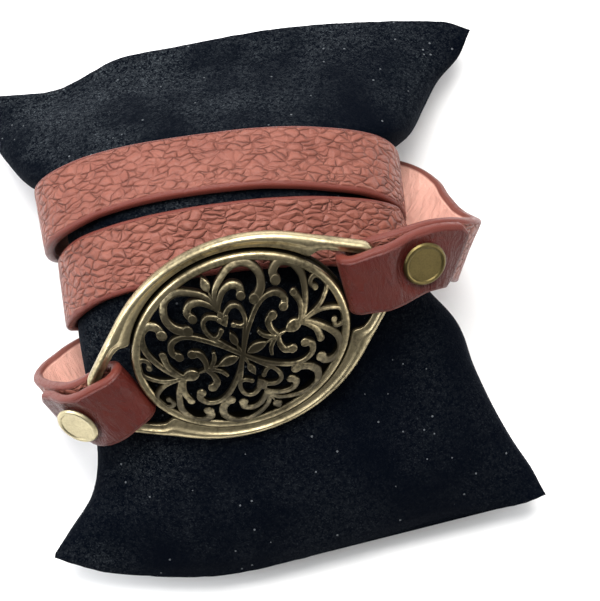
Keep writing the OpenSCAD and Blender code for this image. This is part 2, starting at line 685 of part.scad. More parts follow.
// Barrel-shaped shell: its radius along the plate and across it
dome_r_along = (pow(plate_l / 2, 2) + dome_h * dome_h) / (2 * dome_h);
dome_r_across = (pow(plate_w / 2, 2) + dome_h * dome_h) / (2 * dome_h);
module dome_shell()
    translate([0, 0, dome_foot + dome_h - dome_r_across]) rotate([0, 90, 0]) rotate([0, 0, 120])
        rotate_extrude(angle = 120, $fn = 180) intersection() {
            translate([dome_r_across - dome_r_along, 0]) difference() {
                circle(r = dome_r_along, $fn = 180);
                circle(r = dome_r_along - dome_t, $fn = 180);
            }
            translate([dome_r_across / 4, -plate_l]) square([dome_r_across, 2 * plate_l]);
        }

module filigree() intersection() {
    dome_shell();
    translate([0, 0, flange_z]) linear_extrude(dome_foot + dome_h + bar_h) intersection() {
        filigree_pattern();
        oval(rim_w / 2);
    }
}
module plate_rim() {
    translate([0, 0, flange_z]) linear_extrude(bar_h / 2 + rim_h) difference() {
        oval(0);
        oval(rim_w);
    }
    // Flange that joins the plate to the long arcs of the frame
    translate([0, 0, flange_z]) linear_extrude(flange_h) difference() {
        oval(-bar_slit - bar_w / 2);
        oval(rim_w / 2);
        // Room for the folded leather
        for (side = [-1, 1])
            translate([side * (plate_l / 2 + rim_w), 0]) square([4 * rim_w, strap_w + 5.5], center = true);
    }
}
module ornament() color("#8d8052") at_ornament() union() {
    frame_ring();
    plate_rim();
    filigree();
}

display_pillow();
strap();
ornament();
rivet_left();
snap_right();
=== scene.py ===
"""Leather wrap bracelet on a velvet display pillow.

A long strap goes three times round the pillow, and a cast ornament with pierced scrollwork joins its
two folded ends in front. Lengths are in metres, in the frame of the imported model.
"""

import math

import bmesh
import bpy
from mathutils import Matrix, Vector, noise


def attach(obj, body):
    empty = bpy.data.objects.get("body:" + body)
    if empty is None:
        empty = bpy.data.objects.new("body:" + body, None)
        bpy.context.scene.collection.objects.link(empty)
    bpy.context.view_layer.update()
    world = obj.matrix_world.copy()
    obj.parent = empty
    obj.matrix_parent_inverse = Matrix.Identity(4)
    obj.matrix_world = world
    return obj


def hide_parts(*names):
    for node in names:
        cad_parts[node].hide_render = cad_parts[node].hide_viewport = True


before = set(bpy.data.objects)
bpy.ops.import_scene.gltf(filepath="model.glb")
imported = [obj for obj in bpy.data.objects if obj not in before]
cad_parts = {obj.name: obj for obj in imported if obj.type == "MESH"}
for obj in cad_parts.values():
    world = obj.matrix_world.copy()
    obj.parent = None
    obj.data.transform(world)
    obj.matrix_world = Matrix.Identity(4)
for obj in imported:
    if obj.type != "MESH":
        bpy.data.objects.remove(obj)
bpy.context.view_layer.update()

bl_info = {
    "name": "Leather wrap bracelet",
    "version": (1, 0, 0),
    "blender": (4, 5, 0),
    "location": "3D view > Sidebar > Bracelet",
    "description": "Adds a leather wrap bracelet with a cast ornament, on its display pillow",
    "category": "Add Mesh",
}

MM = 0.001
# Length that a unit of the strap's UV map stands for
UV_UNIT = 0.1

# Sections of the pillow from foot to head. Columns: place as a share of the half length, flare of the
# left and right sides from waist (0) to corner (1), height of the top and of the widest line from seam
# (0) to crest (1), bulge of the underside, and how far the underside is tucked up for the strap
SECTIONS = (
    (-1, 0.78, 1, 0, 0, 0, 0),
    (-0.951, 0.76, 0.985, 0.11, 0.01, 0.45, 0),
    (-0.823, 0.53, 0.92, 0.27, 0.04, 0.9, 0),
    (-0.675, 0.18, 0.78, 0.38, 0.11, 1, 0),
    (-0.526, 0.03, 0.65, 0.47, 0.18, 1, 0.25),
    (-0.378, 0.02, 0.54, 0.59, 0.25, 0.9, 0.9),
    (-0.23, 0.02, 0.45, 0.73, 0.33, 0.6, 1),
    (-0.082, 0.03, 0.2, 0.89, 0.4, 0.5, 1),
    (0.047, 0, 0.02, 0.97, 0.42, 0.5, 1),
    (0.145, 0, 0, 1, 0.42, 0.5, 1),
    (0.264, 0, 0, 0.985, 0.42, 0.5, 1),
    (0.383, 0.02, 0.02, 0.93, 0.4, 0.6, 1),
    (0.442, 0.1, 0.08, 0.885, 0.38, 0.7, 1),
    (0.501, 0.42, 0.27, 0.82, 0.34, 0.85, 1),
    (0.61, 0.68, 0.44, 0.65, 0.25, 1, 0.75),
    (0.738, 0.88, 0.61, 0.42, 0.13, 1, 0.1),
    (0.857, 0.97, 0.83, 0.2, 0.03, 0.6, 0),
    (1, 1, 0.96, 0, 0, 0, 0),
)
# How far each end seam stays back across the pillow. Columns: side, share of the seam's bow
HEAD_SEAM = (
    (-1, 1), (-0.82, 1.12), (-0.65, 1), (-0.54, 0.66), (-0.41, 0.27),
    (-0.14, 0.13), (0.16, 0), (0.5, 0.12), (0.89, 0.55), (1, 1),
)
FOOT_SEAM = (
    (-1, 1), (-0.83, 0.54), (-0.63, 0.25), (-0.43, 0.05), (-0.25, 0),
    (0.19, 0.3), (0.57, 0.62), (0.9, 0.72), (1, 0.85),
)
# Course of the strap. Columns: angle round the pillow from its right side over the top, place in row
# pitches from the crest, layers of strap beneath, share of the loop's slack
COURSE = (
    (205, -1.42, 0, 1), (218, -1.22, 0, 0.75), (235, -1.05, 0, 0.3), (260, -0.9, 0, 0),
    (290, -0.72, 0, 0), (320, -0.46, 0, 0), (345, -0.43, 0, 0), (365, -0.39, 0, 0),
    (400, -0.15, 0, 0), (450, 0, 0, 0), (500, -0.08, 0, 0), (540, -0.27, 0, 0),
    (570, -0.18, 0, 0), (600, 0, 0, 0), (630, 0.2, 0, 0), (660, 0.42, 0, 0),
    (690, 0.52, 0, 0), (720, 0.59, 0, 0), (745, 0.74, 0, 0), (780, 0.95, 0, 0),
    (810, 1.05, 0, 0), (850, 1.03, 0, 0), (880, 0.86, 0, 0), (905, 0.78, 0, 0),
    (930, 0.86, 0, 0), (948, 0.98, 0.3, 0), (965, 1.05, 1, 0), (990, 1.1, 1, 0),
    (1015, 1.06, 1, 0), (1035, 0.93, 1, 0.2), (1050, 0.66, 1, 0.65), (1064, 0.25, 0.6, 0.95),
    (1078, -0.2, 0.2, 1),
)
# Scrolls of one quarter of the plate, as a chart in hundredths of its half length and half width.
# Columns: widths at the start, middle and end, ball at the end, course
SCROLLS = (
    (5, 5, 8.5, 10, ((0, 0), (13, 21), (30, 40), (42, 46), (52, 43), (56, 33), (52, 26))),
    (5, 8, 9.5, 11.5, ((58, 0), (64, 6), (72, 21), (78, 42), (75, 60), (66, 68), (58, 64), (56.5, 55))),
    (4, 5, 5, 6.5, ((60, 0), (72, 1), (82, 5), (92, 16), (91, 29), (86, 34), (81, 30), (83, 23))),
    (4.5, 6.5, 7.5, 8, ((57, 0), (62, 7), (66, 19), (65, 33))),
    (4, 7, 8.5, 10, ((36, 0), (33, 9), (34, 20), (40, 24))),
    (3, 4.5, 4.5, 4.5, ((22, 17), (25, 8), (33, 0))),
    (4, 4.5, 5.5, 5.5, ((0, 0), (11, 22), (18, 37), (18, 50), (12, 55), (5, 51), (3, 47))),
    (3.5, 4, 4.5, 5, ((15.5, 31), (11, 31), (6, 36))),
    (4.5, 7, 8.5, 10, ((0, 57), (3, 63), (11, 72), (20, 74), (26, 68), (24, 60))),
    (4.5, 8, 10, 11.5, (
        (0, 60), (5, 76), (19, 87), (30, 90), (41, 85), (46.5, 71), (44, 59), (38, 52), (33, 50))),
)
# Greatest width of the frame's long bars, as a share of their width at the ends
BAR_SWELL = 2.4
# Radius of the frame's long arcs as a share of its width, and of its corners past the bar's width
ARC_SHARE = 0.755
CORNER_ROOM = 0.8 * MM
# Straight part of a long bar, where it steps back from the plate: share of the part, share of the step
NOTCH = ((0.04, 1), (0.12, 1), (0.2, 1), (0.25, 0.9), (0.29, 0.65), (0.33, 0.35), (0.38, 0.12), (0.5, 0))
# The scrolls stand a little inside the rim across the plate
SCROLLS_WIDTH = 0.95
# Section of the frame's bars. Columns: share of the bar inwards, share of its height, relief
BAR_SECTION = (
    (0.06, -0.5, 0.3), (0, -0.3, 0.5), (0, 0.1, 0.9), (0.04, 0.25, 1), (0.13, 0.37, 1), (0.26, 0.45, 1),
    (0.4, 0.48, 1), (0.47, 0.45, 0.95), (0.54, 0.37, 0.8), (0.66, 0.31, 0.8), (0.8, 0.27, 0.8),
    (0.9, 0.27, 0.95), (0.96, 0.28, 1), (1, 0.22, 0.8), (1, -0.1, 0.15), (1, -0.3, 0.1), (0.85, -0.5, 0.1),
)
# Section of the rim. Columns: share of its width inwards, depth below its top in millimetres, relief
RIM_SECTION = (
    (0, 1.3, 0.1), (0, 0.55, 0.6), (0.1, 0.25, 0.95), (0.3, 0.08, 1), (0.6, 0, 1),
    (0.85, 0.06, 1), (0.97, 0.25, 0.7), (1, 0.6, 0.15),
)
# Section of a scroll. Columns: share of its half width, share of the wall over the dome, relief
SCROLL_SECTION = (
    (-0.85, -1, 0), (-1, -0.5, 0.05), (-1, -0.08, 0.45), (-0.92, 0.1, 1), (-0.7, 0.17, 0.95),
    (-0.35, 0.19, 0.78), (0.35, 0.19, 0.78), (0.7, 0.17, 0.95), (0.92, 0.1, 1), (1, -0.08, 0.45),
    (1, -0.5, 0.05), (0.85, -1, 0),
)
# Leaves on the axes of the plate. Columns: along the axis from, to, width
LONG_LEAVES = ((4, 25, 12), (22, 46, 4), (43, 61, 15))
SHORT_LEAVES = ((0, 16, 4), (13, 30, 9), (38, 57, 11), (54, 82, 4), (78, 94, 11))


# ---- Sizes that a user may change ----

def length(name, default, text):
    return bpy.props.FloatProperty(
        name=name, description=text, default=default, unit="LENGTH", precision=5, step=0.05)


def angle(name, degrees, text):
    return bpy.props.FloatProperty(
        name=name, description=text, default=math.radians(degrees), subtype="ANGLE", unit="ROTATION")


def tint(name, default, text):
    return bpy.props.FloatVectorProperty(
        name=name, description=text, default=default, size=3, min=0, max=1, subtype="COLOR")


class PillowSizes(bpy.types.PropertyGroup):
    """Sizes and colours of the display pillow"""

    width: length("Width", 0.110, "Width across the corners")
    height: length("Height", 0.044, "Height of the crest at the squeezed waist")
    reach: length("Length", 0.1174, "Length from seam to seam")
    waist: length("Waist", 0.069, "Width of the waist under the strap")
    waist_shift: length("Waist shift", 0.0044, "How far the waist lies to the left of the middle")
    waist_room: length("Waist room", 0.007, "Room under the waist")
    seam_height: length("Seam height", 0.008, "Height of the end seams above the floor")
    seam_thickness: length("Seam thickness", 0.003, "Thickness of the cloth edge at the end seams")
    head_bow: length("Head bow", 0.0066, "How far the corners stay back at the head seam")
    foot_bow: length("Foot bow", 0.0086, "How far the left corner stays back at the foot seam")
    curl: length("Corner curl", 0.003, "How far the corners curl up")
    belly: length("Belly", 0.0025, "How far the underside is pressed flat")
    creases: length("Creases", 0.0007, "Depth of the creases that run from the waist")
    cloth: tint("Velvet", (0.0002, 0.0009, 0.0028), "Colour of the pile")
    # Colour of the brushed pile, which also carries the painted sheen towards the head's left corner
    brushed_pile_and_sheen: tint("Bloom", (0.082, 0.094, 0.104), "Colour where the pile is brushed up")


class StrapSizes(bpy.types.PropertyGroup):
    """Sizes and colours of the strap"""

    width: length("Width", 0.0145, "Width of the strap")
    thickness: length("Thickness", 0.0022, "Thickness of the leather")
    row_gap: length("Row gap", 0.0006, "Gap between two rows where they lie closest")
    clearance: length("Clearance", 0.0003, "Clearance between pieces that lie on each other")
    left_slack: length("Left slack", 0.0065, "How far the left loop stands away from the pillow")
    right_slack: length("Right slack", 0.007, "How far the right loop stands away from the pillow")
    left_tab: length("Left tab", 0.013, "Length of the left folded tab")
    right_tab: length("Right tab", 0.0165, "Length of the right folded tab")
    chamfer: length("Chamfer", 0.0016, "Cut off the corners of a tab's free end")
    round_edge: length("Rounded edge", 0.0008, "Radius of the rounded long edges")
    grain_size: length("Grain size", 0.0018, "Width of a pebble of the grain")
    outside: tint("Outside", (0.232, 0.081, 0.057), "Colour of the pebbled outer face")
    # The leather's own darker furrow tone, deepened as painted shade in the creases
    furrow: tint("Furrow", (0.075, 0.020, 0.013), "Colour between the pebbles")
    # Edge paint, darkened as painted shade for the lower edges that face away from the light
    edge: tint("Edge", (0.115, 0.024, 0.017), "Colour of the smooth rounded edges")
    # Flesh tone of the inner face, lightened as painted light where the loops are lit
    inside: tint("Inside", (0.86, 0.47, 0.38), "Colour of the inner face in the loops")
    # Inner face on the tabs, darkened as painted shade
    tab: tint("Tab", (0.062, 0.0082, 0.0060), "Colour of the smooth inner face on the tabs")


class OrnamentSizes(bpy.types.PropertyGroup):
    """Sizes and colours of the cast ornament"""

    plate_length: length("Plate length", 0.0464, "Length of the oval plate")
    plate_width: length("Plate width", 0.0395, "Width of the oval plate")
    dome: length("Dome", 0.0062, "Height of the plate's dome")
    foot: length("Dome foot", 0.001, "Foot of the dome above the middle of the frame's bars")
    wall: length("Wall", 0.0014, "Wall of the pierced dome")
    rim_width: length("Rim width", 0.0018, "Width of the plate's raised rim")
    rim_height: length("Rim height", 0.0021, "Top of the rim above the middle of the frame's bars")
    frame_length: length("Frame length", 0.066, "Length of the frame over its end bars")
    frame_width: length("Frame width", 0.0455, "Width of the frame across its middle")
    end_bar: length("End bar", 0.016, "Length of each end bar")
    bar_width: length("Bar width", 0.0024, "Width of the frame's bars at its ends")
    bar_slit: length("Slit", 0.0006, "Slit between the plate and the long bars that reach to it")
    bar_height: length("Bar height", 0.0026, "Height of the frame's bars")
    slope: angle("Slope", 37, "Slope towards the foot of the pillow")
    turn: angle("Turn", 20.8, "Turn in its own plane")
    place: bpy.props.FloatVectorProperty(
        name="Place", description="Middle of the ornament", size=3,
        default=(-0.0053, -0.0123, 0.04116), subtype="TRANSLATION", unit="LENGTH")
    bright: tint("Bright brass", (0.52, 0.435, 0.26), "Colour of the rubbed brass")
    dull: tint("Dull brass", (0.060, 0.050, 0.031), "Colour of the antiqued brass")
    recess: tint("Recess", (0.012, 0.010, 0.006), "Colour of the blackened recesses")


class FastenerSizes(bpy.types.PropertyGroup):
    """Sizes and colours of the round caps"""

    diameter: length("Diameter", 0.0094, "Diameter of the caps")
    height: length("Height", 0.001, "Height of a cap above the leather")
    seat: length("Seat", 0.0001, "Gap between a cap and the leather under it")
    left_at: length("Left place", 0.0049, "From the left end bar to its cap")
    right_at: length("Right place", 0.0085, "From the right end bar to its cap")
    # Painted reflection: the left cap's brass is given a bright colour for the light it reflects
    left_cap_lit: tint("Left cap", (0.50, 0.435, 0.27), "Colour of the left cap")
    # Painted shade: the right cap's brass is given a dark colour
    right_cap_shaded: tint("Right cap", (0.135, 0.105, 0.042), "Colour of the right cap")


# ---- General functions ----

def mix(a, b, f):
    return a + (b - a) * f


def ease(f):
    """Smooth step from 0 to 1"""
    f = min(max(f, 0), 1)
    return f * f * (3 - 2 * f)


def bend(a, b, c, d, f):
    """Point of a curve from a to d with handles b and c"""
    g = 1 - f
    return a * (g * g * g) + b * (3 * f * g * g) + c * (3 * f * f * g) + d * (f * f * f)


def smooth(table, column, key):
    """Value of a column at a key, on a smooth curve through the rows of a table"""
    last = len(table) - 1
    i = 0
    while i < last - 1 and key >= table[i + 1][0]:
        i += 1

    def slope(j):
        a, b = max(j - 1, 0), min(j + 1, last)
        return (table[b][column] - table[a][column]) / (table[b][0] - table[a][0])

    w = table[i + 1][0] - table[i][0]
    f = (key - table[i][0]) / w
    g = 1 - f
    return (g * g * (1 + 2 * f) * table[i][column] + f * f * (3 - 2 * f) * table[i + 1][column]
            + f * g * g * w * slope(i) - f * f * g * w * slope(i + 1))


def waves(x, y, z, seed):
    """Smooth noise from about -1 to 1"""
    return noise.noise(Vector((x, y, z + 7.3 * seed)), noise_basis="PERLIN_NEW")


# ---- Where the skin of the pillow and the course of the strap lie ----

class Winding:
    """Pillow, strap and ornament as the sizes of a scene give them"""

    # Degrees between the frames of the course, and steps of a lead, a fold and a tab
    COURSE_STEP = 7.5
    LEAD_STEPS = 14
    FOLD_STEPS = 7
    TAB_STEPS = 7
    # Share of a lead that its first bend takes
    BEND_SHARE = 0.3
    # How far a slack loop sags, and how far the right one leans, as shares of the slack
    SLACK_DROP = 0.3
    RIGHT_LEAN = 0.35
    # Share of its width that the strap keeps in the slot
    FOLD_SQUEEZE = 0.93
    # Length over which a tab closes on the strap under it
    TAB_CLOSE = 9 * MM
    # Per side, left and right: turn of the fold, dive and turn of the lead, length of its bend in strap
    # widths, handles of its curve, and where along it the strap turns to the loop's direction
    FOLD_TURN = {-1: 8, 1: -14}
    DIVE = {-1: 46, 1: 13}
    TURN = {-1: 8, 1: -16}
    BEND_LENGTH = {-1: 0.45, 1: 0.52}
    HANDLES = {-1: (0.25, 0.42), 1: (0.45, 0.38)}
    TWIST = {-1: (0.6, 1), 1: (0.05, 0.35)}
    # Share of the pillow's half length at which the crest lies
    CREST = 0.1376
    # Steps of the table that turns lengths along a lead into shares of it
    TABLE_STEPS = 24

    def __init__(self, scene):
        self.pillow = scene.bracelet_pillow
        self.strap = scene.bracelet_strap
        self.ornament = scene.bracelet_ornament
        self.fasteners = scene.bracelet_fasteners
        orn = self.ornament
        turn, slope = orn.turn, orn.slope
        rise = Vector((0, math.cos(slope), math.sin(slope)))
        self.along = Vector((math.cos(turn), 0, 0)) + rise * math.sin(turn)
        self.across = Vector((-math.sin(turn), 0, 0)) + rise * math.cos(turn)
        self.out = Vector((0, -math.sin(slope), math.cos(slope)))
        self.end_bar = orn.frame_length / 2 - orn.bar_width / 2
        s = self.strap
        self.fold_radius = orn.bar_height / 2 + s.clearance + s.thickness / 2
        self.fold_reach = (self.end_bar - orn.plate_length / 2 - 2 * s.clearance
                           - self.fold_radius - s.thickness / 2)
        self.course = self.course_frames()
        self.tables = {side: self.lead_table(side) for side in (-1, 1)}

    def skin(self, v, degrees):
        """Point of the pillow's surface at a place along it and an angle round it"""
        p = self.pillow
        half = p.reach / 2
        left = -mix(p.waist / 2 + p.waist_shift, p.width / 2, smooth(SECTIONS, 1, v))
        right = mix(p.waist / 2 - p.waist_shift, p.width / 2, smooth(SECTIONS, 2, v))
        top = mix(p.seam_height + p.seam_thickness / 2, p.height, smooth(SECTIONS, 3, v))
        middle = mix(p.seam_height, p.height, smooth(SECTIONS, 4, v))
        bulge = mix(p.seam_height - p.seam_thickness / 2, -p.belly, smooth(SECTIONS, 5, v))
        low = mix(bulge, p.waist_room, smooth(SECTIONS, 6, v))
        c, s = math.cos(math.radians(degrees)), math.sin(math.radians(degrees))
        edge = abs(v) ** 4
        x = (left + right) / 2 + (right - left) / 2 * math.copysign(abs(c) ** mix(0.86, 0.96, edge), c)
        back = p.foot_bow * smooth(FOOT_SEAM, 1, c) if v < 0 else p.head_bow * smooth(HEAD_SEAM, 1, c)
        y = v * half - math.copysign(max(back, 0) * edge, v)
        rise = abs(s) ** mix(0.86, 1.15, edge) * (low - middle if s < 0 else top - middle)
        return Vector((x, y, middle + rise + p.curl * abs(c * v) ** 7))

    def skin_out(self, v, degrees):
        """Outward direction of the pillow's surface"""
        lengthwise = self.skin(v + 0.01, degrees) - self.skin(v - 0.01, degrees)
        return lengthwise.cross(self.skin(v, degrees + 2) - self.skin(v, degrees - 2)).normalized()

    def row_place(self, degrees):
        """Place along the pillow of the course at an angle"""
        pitch = self.strap.width + self.strap.row_gap
        return self.CREST + smooth(COURSE, 1, degrees) * pitch / (self.pillow.reach / 2)

    def course_mid(self, degrees):
        """Middle of the strap's thickness at an angle of its course"""
        s = self.strap
        v = self.row_place(degrees)
        normal = self.skin_out(v, degrees)
        point = self.skin(v, degrees)
        reach = s.width / self.pillow.reach
        proud = max((self.skin(v + k * reach, degrees) - point).dot(normal) for k in (-1, -0.6, 0.6, 1))
        side = -s.left_slack if degrees < 360 else s.right_slack
        slack = max(smooth(COURSE, 3, degrees), 0)
        layers = smooth(COURSE, 2, degrees) * (s.thickness + s.clearance)
        lift = max(proud, 0) + s.clearance + s.thickness / 2 + layers
        return point + normal * lift + slack * Vector((side, 0, -self.SLACK_DROP * abs(side)))

    def course_frames(self):
        """Middle, direction across, outward direction and direction along, at each step of the course"""
        steps = round((COURSE[-1][0] - COURSE[0][0]) / self.COURSE_STEP)
        angles = [COURSE[0][0] + k * self.COURSE_STEP for k in range(steps + 1)]
        mids = [self.course_mid(a) for a in angles]
        frames = []
        for i, degrees in enumerate(angles):
            go = (mids[min(i + 1, steps)] - mids[max(i - 1, 0)]).normalized()
            out = self.skin_out(self.row_place(degrees), degrees)
            flat = go.cross(out).normalized()
            lean = 0 if degrees < 720 else self.RIGHT_LEAN * max(smooth(COURSE, 3, degrees), 0)
            across = go.cross(out - flat * lean).normalized()
            frames.append((mids[i], across, across.cross(go), go))
        return frames

    def at_ornament(self, u, v, w):
        """Point in the ornament's own directions"""
        return Vector(self.ornament.place) + self.along * u + self.across * v + self.out * w

    def fold_go(self, side):
        t = math.radians(self.FOLD_TURN[side])
        return (self.along * math.cos(t) + self.across * math.sin(t)) * side

    def fold_across(self, side):
        t = math.radians(self.FOLD_TURN[side])
        return self.across * math.cos(t) - self.along * math.sin(t)

    def at_fold(self, side, reach, w):
        return self.at_ornament(side * (self.end_bar - self.fold_reach), 0, w) + self.fold_go(side) * reach

    def lead_go(self, side):
        t, q = math.radians(self.TURN[side]), math.radians(self.DIVE[side])
        flat = (self.along * math.cos(t) + self.across * math.sin(t)) * side
        return flat * math.cos(q) - self.out * math.sin(q)

    def lead_end(self, side):
        return self.course[0] if side < 0 else self.course[-1]

    def lead_mid(self, side, f):
        """Middle of the strap between a fold (0) and its loop (1)"""
        if f < self.BEND_SHARE:
            return self.bend_mid(side, f / self.BEND_SHARE)
        a = self.bend_mid(side, 1)
        end, _, _, go = self.lead_end(side)
        go = go * -side
        span = (end - a).length
        near, far = self.HANDLES[side]
        g = (f - self.BEND_SHARE) / (1 - self.BEND_SHARE)
        return bend(a, a + self.lead_go(side) * span * near, end - go * span * far, end, g)

    def bend_mid(self, side, f):
        """Middle of the strap in the bend next to a fold"""
        start = self.fold_go(side)
        go = self.lead_go(side)
        turn = math.acos(start.dot(go))
        aside = (go - start * math.cos(turn)).normalized()
        r = self.BEND_LENGTH[side] * self.strap.width / turn
        base = self.at_fold(side, self.fold_reach, -self.fold_radius)
        return base + r * (math.sin(f * turn) * start + (1 - math.cos(f * turn)) * aside)

    def lead_frame(self, side, f):
        """Middle, direction across and outward direction of a lead"""
        go = (self.lead_mid(side, f + 0.01) - self.lead_mid(side, f - 0.01)).normalized() * -side
        t = math.radians(self.TURN[side])
        turned = self.across * math.cos(t) - self.along * math.sin(t)
        if f < self.BEND_SHARE:
            across = mix(self.fold_across(side), turned, f / self.BEND_SHARE)
        else:
            g = (f - self.BEND_SHARE) / (1 - self.BEND_SHARE)
            low, high = self.TWIST[side]
            across = mix(turned, self.lead_end(side)[1], ease((g - low) / (high - low)))
        out = across.normalized().cross(go).normalized()
        return self.lead_mid(side, f), go.cross(out), out

    def lead_table(self, side):
        """Lengths along a lead and the shares of it that they reach"""
        n = self.TABLE_STEPS
        points = [self.lead_mid(side, k / n) for k in range(n + 1)]
        rows = [(0, 0)]
        for k in range(n):
            rows.append((rows[-1][0] + (points[k + 1] - points[k]).length, (k + 1) / n))
        return rows

    def lead_at(self, side, reach):
        """Share of a lead at a length from the end bar"""
        rows = self.tables[side]
        for (a, fa), (b, fb) in zip(rows, rows[1:]):
            if reach <= b:
                return mix(fa, fb, (reach - a) / (b - a))
        return 1

    def tab_gap(self, reach):
        """Distance of a tab's middle from the strap under it"""
        closed = self.strap.thickness + self.strap.clearance
        return mix(2 * self.fold_radius, closed, ease(reach / self.TAB_CLOSE))

    def tab_frame(self, side, reach):
        mid, across, out = self.lead_frame(side, self.lead_at(side, reach))
        return mid + out * self.tab_gap(reach), across, -out

    def fold_frame(self, side, k):
        """Frame at a step of the fold round an end bar"""
        a = math.pi * k / self.FOLD_STEPS
        r = self.fold_radius
        return (self.at_fold(side, -r * math.sin(a), r * math.cos(a)), self.fold_across(side),
                self.fold_go(side) * math.sin(a) - self.out * math.cos(a))

    def tab_rings(self, side):
        """Frames from a tab's free end to its fold, each with how far its sides are drawn in"""
        reach = self.strap.left_tab if side < 0 else self.strap.right_tab
        cuts = [(reach, self.strap.chamfer)]
        for k in range(self.TAB_STEPS + 1):
            cuts.append(((reach - self.strap.chamfer) * (1 - k / self.TAB_STEPS), 0))
        rings = [(*self.tab_frame(side, at), inset) for at, inset in cuts]
        squeeze = (1 - self.FOLD_SQUEEZE) * self.strap.width / 2
        rings += [(*self.fold_frame(side, k), squeeze) for k in range(self.FOLD_STEPS + 1)]
        return rings

    def strap_rings(self):
        """Frames of the whole strap from its left free end to its right one"""
        rings = self.tab_rings(-1)
        rings += [(*self.lead_frame(-1, k / self.LEAD_STEPS), 0) for k in range(self.LEAD_STEPS)]
        rings += [(*f[:3], 0) for f in self.course]
        rings += [(*self.lead_frame(1, k / self.LEAD_STEPS), 0) for k in range(self.LEAD_STEPS - 1, -1, -1)]
        rings += list(reversed(self.tab_rings(1)))
        return rings

    def cap_place(self, side):
        """Middle, across, outward direction and height of a cap's underside on its tab"""
        reach = self.fasteners.left_at if side < 0 else self.fasteners.right_at
        mid, across, out = self.lead_frame(side, self.lead_at(side, reach))
        return mid, across, out, self.tab_gap(reach) + self.strap.thickness / 2 + self.fasteners.seat


# ---- Meshes ----

def laid_grid(bm, columns, rows, place):
    """Lays a grid where place(u, v) says, with u and v from 0 to 1; returns its vertices with them"""
    made = bmesh.ops.create_grid(bm, x_segments=columns, y_segments=rows, size=0.5)["verts"]
    at = {}
    for vert in made:
        u, v = round(vert.co.x + 0.5, 6), round(vert.co.y + 0.5, 6)
        at[vert] = (u, v)
        vert.co = place(u, v)
    return at


def map_grid(bm, at, size_u, size_v):
    """Gives the faces of a laid grid a UV map"""
    layer = bm.loops.layers.uv["UVMap"]
    for face in bm.faces:
        for loop in face.loops:
            u, v = at[loop.vert]
            loop[layer].uv = (u * size_u / UV_UNIT, v * size_v / UV_UNIT)


def close_shell(bm, gap=1e-6):
    """Merges doubles, fills open ends and turns the faces outwards"""
    bmesh.ops.remove_doubles(bm, verts=bm.verts, dist=gap)
    rims = [e for e in bm.edges if e.is_boundary]
    if rims:
        bmesh.ops.holes_fill(bm, edges=rims, sides=0)
    bmesh.ops.recalc_face_normals(bm, faces=bm.faces)


def finish_piece(name, bm, material, body, nodes=()):
    """Turns a bmesh into a smooth-shaded piece that rides on a body"""
    mesh = bpy.data.meshes.new(name)
    for face in bm.faces:
        face.smooth = True
    bm.to_mesh(mesh)
    bm.free()
    piece = bpy.data.objects.new(name, mesh)
    bpy.context.scene.collection.objects.link(piece)
    mesh.materials.append(material)
    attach(piece, body)
    if nodes:
        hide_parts(*nodes)
    return piece


# ---- Shader nodes ----

class Nodes:
    """Adds nodes to a material's, a group's or the world's tree"""

    def __init__(self, tree):
        self.tree = tree

    def feed(self, socket, value):
        """Links a socket, or sets its value; a plain colour gets its alpha"""
        if isinstance(value, bpy.types.NodeSocket):
            self.tree.links.new(value, socket)
        elif socket.type == "RGBA":
            socket.default_value = (*value[:3], 1)
        else:
            socket.default_value = value

    def add(self, kind, values=None, **settings):
        """Adds a node, with its settings and the values or links of its inputs"""
        made = self.tree.nodes.new("ShaderNode" + kind)
        for key, value in settings.items():
            setattr(made, key, value)
        for key, value in (values or {}).items():
            self.feed(made.inputs[key], value)
        return made

    def maths(self, operation, a, b=0.0, c=0.0):
        return self.add("Math", {0: a, 1: b, 2: c}, operation=operation).outputs[0]

    def times(self, a, b):
        return self.maths("MULTIPLY", a, b)

    def times_plus(self, a, b, c):
        return self.maths("MULTIPLY_ADD", a, b, c)

    def minus(self, a, b):
        return self.maths("SUBTRACT", a, b)

    def most(self, a, b):
        return self.maths("MAXIMUM", a, b)

    def spread(self, value, low, high, to_low=0.0, to_high=1.0):
        """Maps a value smoothly from one range to another"""
        values = {"Value": value, "From Min": low, "From Max": high, "To Min": to_low, "To Max": to_high}
        return self.add("MapRange", values, interpolation_type="SMOOTHSTEP").outputs["Result"]

    def blend(self, f, a, b):
        """Blends two colours"""
        return self.add("Mix", {0: f, 6: a, 7: b}, data_type="RGBA").outputs[2]

    def noise(self, vector, scale, detail=2.0, rough=0.5, warp=0.0, output="Fac"):
        return self.add("TexNoise", {
            "Vector": vector, "Scale": scale, "Detail": detail, "Roughness": rough,
            "Distortion": warp}).outputs[output]

    def cells(self, vector, scale, random, feature):
        """Outputs of a flat cell pattern"""
        return self.add("TexVoronoi", {"Vector": vector, "Scale": scale, "Randomness": random},
                        voronoi_dimensions="2D", feature=feature).outputs

    def mapped(self, vector, scale, turn=(0, 0, 0)):
        return self.add("Mapping", {"Vector": vector, "Rotation": turn, "Scale": scale}).outputs[0]

    def parts(self, colour):
        return self.add("SeparateColor", {"Color": colour}).outputs

    def axes(self, vector):
        return self.add("SeparateXYZ", {"Vector": vector}).outputs

    def painted(self, name):
        """The three values of a colour attribute"""
        return self.parts(self.add("Attribute", attribute_name=name).outputs["Color"])

    def object_place(self):
        return self.add("TexCoord").outputs["Object"]

    def use(self, group, **values):
        """Places a node group with values for its inputs, and returns its outputs"""
        made = self.tree.nodes.new("ShaderNodeGroup")
        made.node_tree = group
        for key, value in values.items():
            self.feed(made.inputs[key], value)
        return made.outputs


